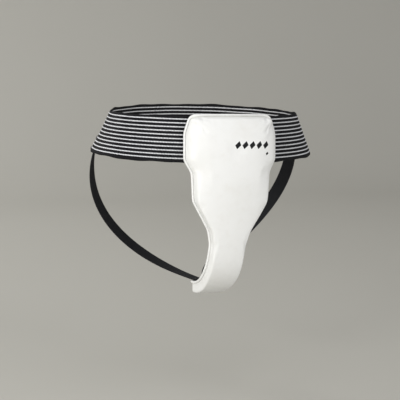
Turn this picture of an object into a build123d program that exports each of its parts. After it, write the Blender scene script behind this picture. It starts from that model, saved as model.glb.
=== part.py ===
"""Groin protector: a padded guard with a slide-in cup, a striped elastic waistband and two leg straps.

Everything is in millimetres and shown as it is worn.  The origin is the centre of the waist
opening at the waistband's mid-height, +X is across the body, -Y is the front and +Z is up.
"left" pieces lie at -X and "right" pieces at +X, as seen from the front.
"""
from build123d import *

import os
from math import asin, ceil, cos, degrees, radians, sin, sqrt

os.makedirs("parts", exist_ok=True)

# ---- Waistband: an ellipse in plan, leaning outward towards its lower edge ----
WAIST_HALF_WIDTH = 155.0
WAIST_HALF_DEPTH = 97.0
WAIST_CENTRE_Y = 5.0
FRONT_LEAN = 5.0
SIDE_LEAN = 23.5
REAR_LEAN = 12.0
BAND_WIDTH = 65.0
BAND_THICKNESS = 2.0
BAND_FRONT_END_X = 50.0
BAND_SECTION_STEP = 24.4

# ---- Rear closure: a hook tab on the left band end, a loop tape on the right band end ----
CLOSURE_X = -42.0
BAND_END_GAP = 4.0
CLOSURE_WIDTH = 50.0
TAB_REACH = 76.0
TAB_THICKNESS = 1.5
TAB_BASE_LENGTH = 30.0
TAB_GAP = 0.8
TAPE_THICKNESS = 1.2
TAPE_MARGIN = 2.0
LOOP_LENGTH = 80.0
HOOK_LENGTH = 62.0
END_BINDING_LENGTH = 7.0

# ---- Pad: an upper arc and a tail arc, both bent about axes that run across the body ----
UPPER_RADIUS = 500.0
UPPER_AXIS_Z = -61.0
JOIN_Z = -163.0
TAIL_RADIUS = 86.0
TAIL_END_ANGLE = 90.0
CROSS_RADIUS = 265.0
PAD_STANDOFF = 5.83
PAD_TOP_Z = 36.6
PAD_WING_HALF_WIDTH = 68.0
PAD_TOP_INSET = 8.0
PAD_HIP_INSET = 10.5
PAD_WAIST_INSET = 14.0
PAD_TAIL_HALF_WIDTH = 24.0
PAD_TAPER_SPREAD = 5.5
TAIL_END_INSET = 4.5
TAIL_NARROWING_START = 0.9
WING_TOP_DROP = 24.0
WING_BOTTOM_Z = -26.0
HIP_Z = -44.0
WAIST_Z = -86.0
TAPER_Z = -128.0
TAIL_TOP_RISE = 14.0
TAIL_RUN_ON = 30.0
OUTLINE_RADII = [9.0, 40.0, 16.0, 24.0, 24.0, 50.0, 40.0, 1.0]
MOUTH_DROP = 2.1
CUTTER_MARGIN = 10.0

# ---- Pad layers, as depths behind the front surface ----
PAD_THICKNESS = 17.0
COVER_THICKNESS = 1.0
BACK_PADDING_THICKNESS = 2.4
LINER_THICKNESS = 0.6
LINER_LAP = 6.0
POCKET_DEPTH = 5.0
BACK_LINING_THICKNESS = 1.0
LAYER_GAP = 0.2

# ---- Edge piping ----
PIPING_OVERHANG = 2.4
PIPING_DEPTH = 3.9
PIPING_SKIN = 0.6
PIPING_GAP = 0.1

# ---- Cup ----
CUP_MARGIN = 11.0
CUP_HALF_WIDTH = 50.0
CUP_TOP_Z = 17.0
CUP_BOTTOM_Z = -136.0
CUP_CORNER = 9.0
CUP_NOSE_RADIUS = 32.0
CUP_NOSE_RISE = 24.0
CUP_WALL = 2.2
CUP_RIM_WIDTH = 5.0
CUP_RIM_LAP = 2.8
CUP_CLEARANCE = 0.8
CUP_DEPTH_CLEARANCE = 0.3
VENT_WIDTH = 4.0
VENT_LENGTH = 15.0
VENT_PITCH_X = 14.0
VENT_PITCH_Z = 24.0
VENT_TOP_Z = -6.0
VENT_ROWS = [5, 5, 5, 3]
GROOVE_GAP = 0.05

# ---- Leg straps, sewn inside the waistband and behind the tail's end ----
STRAP_WIDTH = 19.0
STRAP_THICKNESS = 1.8
STRAP_TURN = 105.0
STRAP_OVERLAP = 25.0
STRAP_SIDE_GAP = 0.4
STRAP_BAND_GAP = 1.4
STRAP_SEWN_ANGLE = 14.0
STRAP_FREE_STEPS = 10
STRAP_LEAVING = (24.0, 120.0, 0.0)
STRAP_ARRIVING = (10.0, 28.0, -108.0)
STRAP_MIDDLE_FACING = (0.5, 1.6, -1.0)
SEAM_GAP = 0.3

# ---- Small sewn pieces ----
ANCHOR_TAPE_WIDTH = 13.0
ANCHOR_TAPE_THICKNESS = 0.8
TACK_LENGTH = 20.0
TACK_HEIGHT = 2.5
TACK_THICKNESS = 0.6
TACK_EDGE = 4.0
PATCH_LENGTH = 20.0
PATCH_THICKNESS = 0.8
LABEL_LENGTH = 22.0
LABEL_HEIGHT = 34.0
LABEL_THICKNESS = 0.4
LABEL_TURN = -150.0

# ---- Values worked out from the sizes above ----
ACROSS = Vector(1, 0, 0)
UP = Vector(0, 0, 1)
PAD_TOP_HALF_WIDTH = PAD_WING_HALF_WIDTH - PAD_TOP_INSET
PAD_HIP_HALF_WIDTH = PAD_WING_HALF_WIDTH - PAD_HIP_INSET
PAD_WAIST_HALF_WIDTH = PAD_WING_HALF_WIDTH - PAD_WAIST_INSET
PAD_TAPER_HALF_WIDTH = PAD_TAIL_HALF_WIDTH + PAD_TAPER_SPREAD
TAIL_END_HALF_WIDTH = PAD_TAIL_HALF_WIDTH - TAIL_END_INSET

# The pad's back stands off the waistband by a set distance, level with the wings' edges.
BAND_Y_AT_WING = WAIST_CENTRE_Y - WAIST_HALF_DEPTH * sqrt(1 - (PAD_WING_HALF_WIDTH / WAIST_HALF_WIDTH) ** 2)
BACK_RADIUS_AT_WING = (
    UPPER_RADIUS - CROSS_RADIUS + sqrt((CROSS_RADIUS - PAD_THICKNESS) ** 2 - PAD_WING_HALF_WIDTH**2)
)
UPPER_AXIS_Y = BAND_Y_AT_WING - PAD_STANDOFF + BACK_RADIUS_AT_WING
UPPER_AXIS = Axis((0, UPPER_AXIS_Y, UPPER_AXIS_Z), (1, 0, 0))


def upper_angle(height):
    """Angle below the upper axis of the front surface at a height."""
    return degrees(asin((UPPER_AXIS_Z - height) / UPPER_RADIUS))


JOIN_ANGLE = upper_angle(JOIN_Z)
TAIL_AXIS_Y = UPPER_AXIS_Y - (UPPER_RADIUS - TAIL_RADIUS) * cos(radians(JOIN_ANGLE))
TAIL_AXIS_Z = UPPER_AXIS_Z - (UPPER_RADIUS - TAIL_RADIUS) * sin(radians(JOIN_ANGLE))
TAIL_AXIS = Axis((0, TAIL_AXIS_Y, TAIL_AXIS_Z), (1, 0, 0))
ABOVE_PAD_ANGLE = upper_angle(PAD_TOP_Z + CUTTER_MARGIN)
COVER_TOP_ANGLE = upper_angle(PAD_TOP_Z - MOUTH_DROP)
HOLLOW_TOP_ANGLE = upper_angle(PAD_TOP_Z - MOUTH_DROP - COVER_THICKNESS)
FOAM_TOP_ANGLE = upper_angle(PAD_TOP_Z - MOUTH_DROP - COVER_THICKNESS - LAYER_GAP)
FILLING_INSET = COVER_THICKNESS + LAYER_GAP
MOUTH_HALF_WIDTH = CUP_HALF_WIDTH + CUP_CLEARANCE
FAR = 2 * WAIST_HALF_DEPTH
NARROWING_Y = TAIL_AXIS_Y - TAIL_NARROWING_START * (TAIL_RADIUS - PAD_THICKNESS)

# The layers are stacked from the body side, so the front foam takes up any change in thickness.
BACK_LINING_FRONT = PAD_THICKNESS - BACK_LINING_THICKNESS
BACK_PADDING_BACK = BACK_LINING_FRONT - LAYER_GAP
BACK_PADDING_FRONT = BACK_PADDING_BACK - BACK_PADDING_THICKNESS
POCKET_BACK = BACK_PADDING_FRONT - LAYER_GAP
POCKET_FRONT = POCKET_BACK - POCKET_DEPTH
LINER_FRONT = POCKET_FRONT - LINER_THICKNESS
FRONT_FOAM_BACK = LINER_FRONT - LAYER_GAP
FRONT_FOAM_FRONT = COVER_THICKNESS + LAYER_GAP
PIPING_FRONT = PAD_THICKNESS - PIPING_DEPTH
CUP_RIM_FRONT = POCKET_FRONT + CUP_DEPTH_CLEARANCE
CUP_RIM_BACK = POCKET_BACK - CUP_DEPTH_CLEARANCE
CUP_SHELL_FRONT = (CUP_RIM_FRONT + CUP_RIM_BACK - CUP_WALL) / 2


# ---- Shapes shared by the pad's layers ----
def pad_outline(inset=0.0):
    """Front outline of the pad: wide wings at the waist, a straight body and a narrow tail."""
    with BuildSketch() as outline:
        with BuildLine():
            FilletPolyline(
                (0, PAD_TOP_Z),
                (PAD_TOP_HALF_WIDTH, PAD_TOP_Z),
                (PAD_WING_HALF_WIDTH, PAD_TOP_Z - WING_TOP_DROP),
                (PAD_WING_HALF_WIDTH, WING_BOTTOM_Z),
                (PAD_HIP_HALF_WIDTH, HIP_Z),
                (PAD_WAIST_HALF_WIDTH, WAIST_Z),
                (PAD_TAPER_HALF_WIDTH, TAPER_Z),
                (PAD_TAIL_HALF_WIDTH, JOIN_Z + TAIL_TOP_RISE),
                (PAD_TAIL_HALF_WIDTH, JOIN_Z - TAIL_RUN_ON),
                (0, JOIN_Z - TAIL_RUN_ON),
                radius=OUTLINE_RADII,
            )
            mirror(about=Plane.YZ)
        make_face()
        if inset:
            offset(amount=-inset)
    return outline.sketch


def arc_plane(axis, angle):
    """Plane through a cross-body axis; its y direction points away from the axis at an angle below level."""
    outward = Vector(0, -cos(radians(angle)), -sin(radians(angle)))
    return Plane(origin=axis.position, x_dir=ACROSS, z_dir=ACROSS.cross(outward))


def layer_section(radius, front, back, half_width):
    """Slice through a layer between two depths, following the pad's sideways curve."""
    with BuildSketch() as section:
        with Locations((0, radius - CROSS_RADIUS)):
            Circle(CROSS_RADIUS - front)
            Circle(CROSS_RADIUS - back, mode=Mode.SUBTRACT)
        with Locations((0, radius - PAD_THICKNESS)):
            Rectangle(2 * half_width, FAR, mode=Mode.INTERSECT)
    return section.sketch


def upper_block(front, back, half_width, top_angle=ABOVE_PAD_ANGLE, bottom_angle=JOIN_ANGLE):
    """Layer of the upper arc with straight sides, before it is trimmed to an outline."""
    with BuildPart() as block:
        with BuildSketch(arc_plane(UPPER_AXIS, top_angle)):
            add(layer_section(UPPER_RADIUS, front, back, half_width))
        revolve(axis=UPPER_AXIS, revolution_arc=bottom_angle - top_angle)
    return block.part


def tail_block(front, back, inset):
    """Layer of the tail arc, from the join to the tail's end, narrowing towards the end."""
    end_angle = TAIL_END_ANGLE - degrees(inset / TAIL_RADIUS)
    half_width = PAD_TAIL_HALF_WIDTH - inset
    end_half_width = TAIL_END_HALF_WIDTH - inset
    with BuildPart() as block:
        with BuildSketch(arc_plane(TAIL_AXIS, JOIN_ANGLE)):
            add(layer_section(TAIL_RADIUS, front, back, half_width))
        revolve(axis=TAIL_AXIS, revolution_arc=end_angle - JOIN_ANGLE)
        with BuildSketch(Plane.XY):
            with BuildLine():
                Polyline(
                    (0, -FAR),
                    (half_width, -FAR),
                    (half_width, NARROWING_Y),
                    (end_half_width, TAIL_AXIS_Y),
                    (end_half_width, 0),
                    (0, 0),
                )
                mirror(about=Plane.YZ)
            make_face()
        extrude(amount=2 * FAR, both=True, mode=Mode.INTERSECT)
    return block.part


def pad_layer(front, back, inset=0.0, top_angle=ABOVE_PAD_ANGLE):
    """Whole layer of the pad between two depths, set in from the outline."""
    with BuildPart() as layer:
        add(upper_block(front, back, PAD_WING_HALF_WIDTH + CUTTER_MARGIN, top_angle))
        with BuildSketch(Plane.XZ):
            add(pad_outline(inset))
        extrude(amount=FAR, both=True, mode=Mode.INTERSECT)
        add(tail_block(front, back, inset))
    return layer.part


def edge_ring(front, back, inner_edge, outer_edge):
    """Ring that runs round the outside of the pad's outline, between two distances from it."""
    with BuildPart() as ring:
        add(pad_layer(front, back, -outer_edge))
        add(pad_layer(front - LAYER_GAP, back + LAYER_GAP, -inner_edge), mode=Mode.SUBTRACT)
    return ring.part


def cup_outline(inset=0.0):
    """Outline of the cup: straight sides under the mouth, then the pad's taper, then a round nose."""
    with BuildSketch() as outline:
        with Locations((0, CUP_TOP_Z)):
            Rectangle(
                2 * CUP_HALF_WIDTH,
                CUP_TOP_Z - CUP_BOTTOM_Z - CUP_NOSE_RISE,
                align=(Align.CENTER, Align.MAX),
            )
        fillet(outline.vertices().group_by(Axis.Y)[-1], radius=CUP_CORNER)
        with Locations((0, CUP_BOTTOM_Z + CUP_NOSE_RADIUS)):
            Circle(CUP_NOSE_RADIUS)
        add(pad_outline(CUP_MARGIN), mode=Mode.INTERSECT)
        if inset:
            offset(amount=-inset)
    return outline.sketch


def cup_block(front, back, inset=0.0):
    """Piece with the cup's outline between two depths."""
    with BuildPart() as block:
        add(upper_block(front, back, CUP_HALF_WIDTH + CUTTER_MARGIN))
        with BuildSketch(Plane.XZ):
            add(cup_outline(inset))
        extrude(amount=FAR, both=True, mode=Mode.INTERSECT)
    return block.part


# ---- Section planes of the leg straps ----
def tail_plane(angle, x, depth):
    """Section plane on the tail's back: x runs across, y faces away from the body, z runs to the rear."""
    tilt = asin(x / (CROSS_RADIUS - depth))
    radial = Vector(0, -cos(radians(angle)), -sin(radians(angle)))
    reach = TAIL_RADIUS - CROSS_RADIUS + (CROSS_RADIUS - depth) * cos(tilt)
    across = ACROSS * cos(tilt) - radial * sin(tilt)
    facing = radial * cos(tilt) + ACROSS * sin(tilt)
    return Plane(
        origin=TAIL_AXIS.position + radial * reach + ACROSS * x,
        x_dir=across,
        z_dir=across.cross(facing),
    )


def blended(points, share):
    """Point of a Bezier curve with three or four control points."""
    while len(points) > 1:
        points = [first + (second - first) * share for first, second in zip(points, points[1:])]
    return points[0]


def free_plane(route, facings, share):
    """Section plane of a free strap part of the way along its route, facing away from the leg."""
    ahead = blended(route[1:], share)
    behind = blended(route[:-1], share)
    along = (ahead - behind).normalized()
    return Plane(origin=blended(route, share), x_dir=blended(facings, share).cross(along), z_dir=along)


# ---- Shapes shared by everything on the waistband ----
def waist_plane(turn, height, depth):
    """Section plane of the waistband: x runs up the band, y faces outward, z runs round the waist."""
    angle = radians(turn)
    end_lean = FRONT_LEAN if cos(angle) > 0 else REAR_LEAN
    lean = radians(end_lean + (SIDE_LEAN - end_lean) * sin(angle) ** 2)
    centre = Vector(WAIST_HALF_WIDTH * sin(angle), WAIST_CENTRE_Y - WAIST_HALF_DEPTH * cos(angle), 0)
    outward = Vector(WAIST_HALF_DEPTH * sin(angle), -WAIST_HALF_WIDTH * cos(angle), 0).normalized()
    upward = UP * cos(lean) - outward * sin(lean)
    facing = outward * cos(lean) + UP * sin(lean)
    return Plane(
        origin=centre + upward * height + facing * depth,
        x_dir=upward,
        z_dir=upward.cross(facing),
    )


def front_turn(x):
    """Turn from the front centre at which the waistband passes a given x."""
    return degrees(asin(x / WAIST_HALF_WIDTH))


def rear_turn(x):
    """Turn from the front centre, going round by +X, at which the rear of the waistband passes a given x."""
    return 180 - degrees(asin(x / WAIST_HALF_WIDTH))


def waist_strip(first_turn, last_turn, height, width, inner, outer):
    """Ribbon on the waistband's curved surface, of a width about a height, between two depths."""
    reach = WAIST_HALF_WIDTH * radians(abs(last_turn - first_turn))
    steps = max(2, ceil(reach / BAND_SECTION_STEP))
    with BuildPart() as strip:
        for step in range(steps + 1):
            turn = first_turn + (last_turn - first_turn) * step / steps
            with BuildSketch(waist_plane(turn, height, (inner + outer) / 2)):
                Rectangle(width, outer - inner)
        loft()
    return strip.part


def closure_strip(first_x, last_x, inner, outer, width=CLOSURE_WIDTH):
    """Ribbon on the rear of the waistband between two places across the back."""
    return waist_strip(rear_turn(last_x), rear_turn(first_x), 0, width, inner, outer)


def export(piece, name):
    """Label a finished piece and write it to its own file."""
    piece.part.label = name
    export_step(piece.part, f"parts/{name}.step")


# ==== Front cover: a thin skin with side walls, open at the back and at the pocket's mouth ====
with BuildPart() as front_cover:
    add(pad_layer(0, POCKET_BACK, 0, COVER_TOP_ANGLE))
    add(
        pad_layer(COVER_THICKNESS, PAD_THICKNESS, COVER_THICKNESS, HOLLOW_TOP_ANGLE),
        mode=Mode.SUBTRACT,
    )
    add(
        upper_block(LINER_FRONT, PAD_THICKNESS, MOUTH_HALF_WIDTH, bottom_angle=FOAM_TOP_ANGLE),
        mode=Mode.SUBTRACT,
    )
export(front_cover, "front_cover")

# ==== Front foam, and the thin liner that faces the cup ====
with BuildPart() as front_foam:
    add(pad_layer(FRONT_FOAM_FRONT, FRONT_FOAM_BACK, FILLING_INSET, FOAM_TOP_ANGLE))
export(front_foam, "front_foam")

with BuildPart() as pocket_liner:
    add(pad_layer(LINER_FRONT, POCKET_FRONT, FILLING_INSET, FOAM_TOP_ANGLE))
    with BuildSketch(Plane.XZ):
        add(cup_outline(-LINER_LAP))
        with Locations((0, CUP_TOP_Z)):
            Rectangle(2 * (CUP_HALF_WIDTH + LINER_LAP), 2 * (PAD_TOP_Z - CUP_TOP_Z))
    extrude(amount=FAR, both=True, mode=Mode.INTERSECT)
export(pocket_liner, "pocket_liner")

# ==== Pocket foam: the middle layer, cut out round the cup and open at the top ====
with BuildPart() as pocket_foam:
    add(pad_layer(POCKET_FRONT + LAYER_GAP, POCKET_BACK, FILLING_INSET, FOAM_TOP_ANGLE))
    with BuildSketch(Plane.XZ):
        add(cup_outline(-CUP_CLEARANCE))
        with Locations((0, CUP_TOP_Z)):
            Rectangle(2 * MOUTH_HALF_WIDTH, 2 * (PAD_TOP_Z - CUP_TOP_Z))
    extrude(amount=FAR, both=True, mode=Mode.SUBTRACT)
export(pocket_foam, "pocket_foam")

# ==== Back padding and back lining: the body side of the pad, a little taller than its front ====
with BuildPart() as back_padding:
    add(pad_layer(BACK_PADDING_FRONT, BACK_PADDING_BACK, FILLING_INSET))
export(back_padding, "back_padding")

with BuildPart() as back_lining:
    add(pad_layer(BACK_LINING_FRONT, PAD_THICKNESS))
export(back_lining, "back_lining")

# ==== Edge piping round the back lining, with a cord inside it ====
cord_front = PIPING_FRONT + PIPING_SKIN
cord_back = PAD_THICKNESS - PIPING_SKIN
cord_inner = PIPING_GAP + PIPING_SKIN
cord_outer = PIPING_OVERHANG - PIPING_SKIN
with BuildPart() as edge_piping:
    add(edge_ring(PIPING_FRONT, PAD_THICKNESS, PIPING_GAP, PIPING_OVERHANG))
    add(edge_ring(cord_front, cord_back, cord_inner, cord_outer), mode=Mode.SUBTRACT)
export(edge_piping, "edge_piping")

with BuildPart() as piping_cord:
    add(
        edge_ring(
            cord_front + PIPING_GAP,
            cord_back - PIPING_GAP,
            cord_inner + PIPING_GAP,
            cord_outer - PIPING_GAP,
        )
    )
export(piping_cord, "piping_cord")

# ==== Cup: a vented hard plate held in the groove of a soft rim ====
with BuildPart() as cup_shell:
    add(cup_block(CUP_SHELL_FRONT, CUP_SHELL_FRONT + CUP_WALL, CUP_RIM_WIDTH - CUP_RIM_LAP))
    with BuildSketch(Plane.XZ):
        for row, count in enumerate(VENT_ROWS):
            with Locations((0, VENT_TOP_Z - row * VENT_PITCH_Z)):
                with GridLocations(VENT_PITCH_X, 0, count, 1):
                    SlotOverall(VENT_LENGTH, VENT_WIDTH, rotation=90)
    extrude(amount=FAR, both=True, mode=Mode.SUBTRACT)
export(cup_shell, "cup_shell")

with BuildPart() as cup_rim:
    add(cup_block(CUP_RIM_FRONT, CUP_RIM_BACK))
    add(cup_block(CUP_RIM_FRONT - LAYER_GAP, CUP_RIM_BACK + LAYER_GAP, CUP_RIM_WIDTH), mode=Mode.SUBTRACT)
    add(
        cup_block(
            CUP_SHELL_FRONT - GROOVE_GAP,
            CUP_SHELL_FRONT + CUP_WALL + GROOVE_GAP,
            CUP_RIM_WIDTH - CUP_RIM_LAP - GROOVE_GAP,
        ),
        mode=Mode.SUBTRACT,
    )
export(cup_rim, "cup_rim")

# ==== Waistband: two lengths of striped elastic, from the pad's wings round to the rear closure ====
right_end_turn = rear_turn(CLOSURE_X + BAND_END_GAP)
left_end_turn = -rear_turn(-CLOSURE_X)
front_end_turn = front_turn(BAND_FRONT_END_X)
with BuildPart() as waistband_right:
    add(waist_strip(front_end_turn, right_end_turn, 0, BAND_WIDTH, -BAND_THICKNESS, 0))
export(waistband_right, "waistband_right")

with BuildPart() as waistband_left:
    add(waist_strip(-front_end_turn, left_end_turn, 0, BAND_WIDTH, -BAND_THICKNESS, 0))
export(waistband_left, "waistband_left")

# ==== Hook-and-loop closure at the rear ====
loop_outer = LAYER_GAP + TAPE_THICKNESS
hook_inner = loop_outer + LAYER_GAP
tab_inner = hook_inner + TAPE_THICKNESS + LAYER_GAP
tab_outer = tab_inner + TAB_THICKNESS
tab_root_x = CLOSURE_X + TAB_GAP
tape_root_x = CLOSURE_X + BAND_END_GAP + TAPE_MARGIN
tab_tip_x = tab_root_x + TAB_REACH
with BuildPart() as loop_tape:
    add(closure_strip(tape_root_x, tape_root_x + LOOP_LENGTH, LAYER_GAP, loop_outer))
export(loop_tape, "loop_tape")

with BuildPart() as hook_tape:
    add(
        closure_strip(
            tape_root_x,
            tape_root_x + HOOK_LENGTH,
            hook_inner,
            hook_inner + TAPE_THICKNESS,
            CLOSURE_WIDTH - 2 * TAPE_MARGIN,
        )
    )
export(hook_tape, "hook_tape")

with BuildPart() as closure_tab:
    add(closure_strip(tab_root_x, tab_tip_x - END_BINDING_LENGTH, tab_inner, tab_outer))
export(closure_tab, "closure_tab")

with BuildPart() as tab_end_binding:
    add(
        closure_strip(
            tab_tip_x - END_BINDING_LENGTH + TAB_GAP,
            tab_tip_x,
            tab_inner - LAYER_GAP,
            tab_outer + LAYER_GAP,
        )
    )
export(tab_end_binding, "tab_end_binding")

with BuildPart() as closure_tab_base:
    add(
        closure_strip(
            CLOSURE_X - TAB_GAP - TAB_BASE_LENGTH,
            CLOSURE_X - TAB_GAP,
            LAYER_GAP,
            LAYER_GAP + TAB_THICKNESS,
        )
    )
export(closure_tab_base, "closure_tab_base")

# ==== Cover tapes over the band's raw front ends, on the body side ====
tape_outer = -BAND_THICKNESS - LAYER_GAP
tape_turns = front_end_turn, front_turn(BAND_FRONT_END_X + ANCHOR_TAPE_WIDTH)
with BuildPart() as anchor_tape_right:
    add(waist_strip(*tape_turns, 0, BAND_WIDTH, tape_outer - ANCHOR_TAPE_THICKNESS, tape_outer))
export(anchor_tape_right, "anchor_tape_right")

with BuildPart() as anchor_tape_left:
    mirror(anchor_tape_right.part, about=Plane.YZ)
export(anchor_tape_left, "anchor_tape_left")

# ==== Leg straps: from the tail's end, round the back of the thigh, up inside the waistband ====
strap_depth = PAD_THICKNESS + SEAM_GAP + STRAP_THICKNESS / 2
strap_x = STRAP_WIDTH / 2 + STRAP_SIDE_GAP
strap_inner = -BAND_THICKNESS - STRAP_BAND_GAP - STRAP_THICKNESS / 2
strap_low = -BAND_WIDTH / 2
tail_start = tail_plane(TAIL_END_ANGLE, strap_x, strap_depth)
band_arrival = waist_plane(STRAP_TURN, strap_low, strap_inner)
strap_route = [
    tail_start.origin,
    tail_start.origin + Vector(*STRAP_LEAVING),
    band_arrival.origin + Vector(*STRAP_ARRIVING),
    band_arrival.origin,
]
strap_facings = [tail_start.y_dir, Vector(*STRAP_MIDDLE_FACING), band_arrival.y_dir]
strap_planes = [
    tail_plane(TAIL_END_ANGLE - STRAP_SEWN_ANGLE * share, strap_x, strap_depth) for share in (1, 0.5, 0)
]
for step in range(1, STRAP_FREE_STEPS):
    strap_planes.append(free_plane(strap_route, strap_facings, step / STRAP_FREE_STEPS))
for share in (0, 0.5, 1):
    band_plane = waist_plane(STRAP_TURN, strap_low + STRAP_OVERLAP * share, strap_inner)
    strap_planes.append(Plane(band_plane.origin, x_dir=-band_plane.z_dir, z_dir=band_plane.x_dir))
with BuildPart() as leg_strap_right:
    for plane in strap_planes:
        with BuildSketch(plane):
            Rectangle(STRAP_WIDTH, STRAP_THICKNESS)
    loft()
export(leg_strap_right, "leg_strap_right")

with BuildPart() as leg_strap_left:
    mirror(leg_strap_right.part, about=Plane.YZ)
export(leg_strap_left, "leg_strap_left")

# ==== Patch over both strap ends on the tail ====
patch_front = PAD_THICKNESS + SEAM_GAP + STRAP_THICKNESS + SEAM_GAP
patch_angle = degrees(PATCH_LENGTH / TAIL_RADIUS)
with BuildPart() as tail_patch:
    with BuildSketch(arc_plane(TAIL_AXIS, TAIL_END_ANGLE - patch_angle)):
        add(
            layer_section(
                TAIL_RADIUS,
                patch_front,
                patch_front + PATCH_THICKNESS,
                TAIL_END_HALF_WIDTH - LAYER_GAP,
            )
        )
    revolve(axis=TAIL_AXIS, revolution_arc=patch_angle)
export(tail_patch, "tail_patch")

# ==== Bar tacks that hold the leg straps, on the waistband's outer face ====
tack_half_turn = degrees(TACK_LENGTH / WAIST_HALF_DEPTH) / 2
with BuildPart() as strap_tacks_right:
    for height in (strap_low + TACK_EDGE, strap_low + STRAP_OVERLAP - TACK_EDGE):
        add(
            waist_strip(
                STRAP_TURN - tack_half_turn,
                STRAP_TURN + tack_half_turn,
                height,
                TACK_HEIGHT,
                LAYER_GAP,
                LAYER_GAP + TACK_THICKNESS,
            )
        )
export(strap_tacks_right, "strap_tacks_right")

with BuildPart() as strap_tacks_left:
    mirror(strap_tacks_right.part, about=Plane.YZ)
export(strap_tacks_left, "strap_tacks_left")

# ==== Care label inside the rear of the waistband, left blank ====
label_half_turn = degrees(LABEL_LENGTH / WAIST_HALF_WIDTH) / 2
with BuildPart() as care_label:
    add(
        waist_strip(
            LABEL_TURN - label_half_turn,
            LABEL_TURN + label_half_turn,
            0,
            LABEL_HEIGHT,
            -BAND_THICKNESS - SEAM_GAP - LABEL_THICKNESS,
            -BAND_THICKNESS - SEAM_GAP,
        )
    )
export(care_label, "care_label")
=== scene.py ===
# %% [markdown]
# A groin protector is sewn from soft layers round one hard cup. This lesson builds it piece by
# piece round a finished CAD frame: first the frame and the measuring helpers, then the finishes,
# then each sewn piece, and last the light and the camera. All lengths are in metres.

# %% The frame
import math

import bmesh
import bpy
import numpy as np
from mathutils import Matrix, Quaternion, Vector
from mathutils.bvhtree import BVHTree
from mathutils.kdtree import KDTree


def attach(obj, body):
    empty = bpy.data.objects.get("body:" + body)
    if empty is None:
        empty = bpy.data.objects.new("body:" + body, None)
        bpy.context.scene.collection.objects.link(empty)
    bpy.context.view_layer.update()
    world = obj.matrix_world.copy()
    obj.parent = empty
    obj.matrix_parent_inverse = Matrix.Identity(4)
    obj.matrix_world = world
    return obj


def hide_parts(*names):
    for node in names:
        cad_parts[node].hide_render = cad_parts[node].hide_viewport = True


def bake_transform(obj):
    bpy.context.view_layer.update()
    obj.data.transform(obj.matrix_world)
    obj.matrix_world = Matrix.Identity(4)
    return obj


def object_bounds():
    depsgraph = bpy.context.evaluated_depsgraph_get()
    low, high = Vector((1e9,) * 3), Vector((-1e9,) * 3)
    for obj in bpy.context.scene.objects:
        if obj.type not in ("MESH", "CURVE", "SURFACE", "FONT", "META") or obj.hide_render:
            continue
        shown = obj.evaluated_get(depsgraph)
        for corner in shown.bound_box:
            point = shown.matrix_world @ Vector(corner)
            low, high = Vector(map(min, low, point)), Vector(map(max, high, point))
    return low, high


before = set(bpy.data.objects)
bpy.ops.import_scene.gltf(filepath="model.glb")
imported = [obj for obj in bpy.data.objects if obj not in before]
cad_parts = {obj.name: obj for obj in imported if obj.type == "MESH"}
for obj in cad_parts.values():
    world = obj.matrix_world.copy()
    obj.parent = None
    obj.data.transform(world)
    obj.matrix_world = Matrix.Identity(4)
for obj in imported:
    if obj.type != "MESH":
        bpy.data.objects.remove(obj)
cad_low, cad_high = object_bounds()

print("CAD box", [round(side, 4) for side in cad_high - cad_low])

# %% [markdown]
# The pad is bent twice: a long gentle arc down the front of the body and a tight arc under it,
# with a slight curve from side to side. Every layer of the pad shares those arcs, so one function
# turns three plain numbers into a place in space: how far across, how far along the front surface
# from where the two arcs join, and how deep behind it. Sewn pieces are then drawn flat, as a
# pattern maker would, and wrapped by that function.

# %% The pad's curved space
UPPER_RADIUS = 0.5
UPPER_AXIS_Y = 0.3855
UPPER_AXIS_Z = -0.061
TAIL_RADIUS = 0.086
CROSS_RADIUS = 0.265
JOIN_Z = -0.163
TAIL_END_ANGLE = math.pi / 2


def upper_angle(height):
    return math.asin((UPPER_AXIS_Z - height) / UPPER_RADIUS)


JOIN_ANGLE = upper_angle(JOIN_Z)
TAIL_AXIS_Y = UPPER_AXIS_Y - (UPPER_RADIUS - TAIL_RADIUS) * math.cos(JOIN_ANGLE)
TAIL_AXIS_Z = UPPER_AXIS_Z - (UPPER_RADIUS - TAIL_RADIUS) * math.sin(JOIN_ANGLE)
TAIL_RUN = TAIL_RADIUS * (TAIL_END_ANGLE - JOIN_ANGLE)


def run_at(height):
    """Distance along the front surface from the join; it is negative above it."""
    return UPPER_RADIUS * (upper_angle(height) - JOIN_ANGLE)


def pad_point(x, run, depth):
    """Places on a pad layer, for arrays of across, along and behind."""
    x, run, depth = np.broadcast_arrays(x, run, depth)
    on_tail = run > 0
    radius = np.where(on_tail, TAIL_RADIUS, UPPER_RADIUS)
    angle = JOIN_ANGLE + run / radius
    reach = radius - CROSS_RADIUS + np.sqrt((CROSS_RADIUS - depth) ** 2 - x**2)
    y = np.where(on_tail, TAIL_AXIS_Y, UPPER_AXIS_Y) - reach * np.cos(angle)
    z = np.where(on_tail, TAIL_AXIS_Z, UPPER_AXIS_Z) - reach * np.sin(angle)
    return np.stack([x, y, z], axis=-1)


def pad_places(rings):
    """Places on a pad layer, for an array of (across, along, behind)."""
    return pad_point(*np.moveaxis(rings, -1, 0))


print("tail end", pad_point(0.0, TAIL_RUN, 0.0).round(4))

# %% [markdown]
# The outline of the pad is the shape of its paper pattern: wide wings at the waist, a straight
# body, and a narrow tail. It is given as corners with a rounding at each, the way a pattern is
# drafted, and turned into evenly spaced points.

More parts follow.
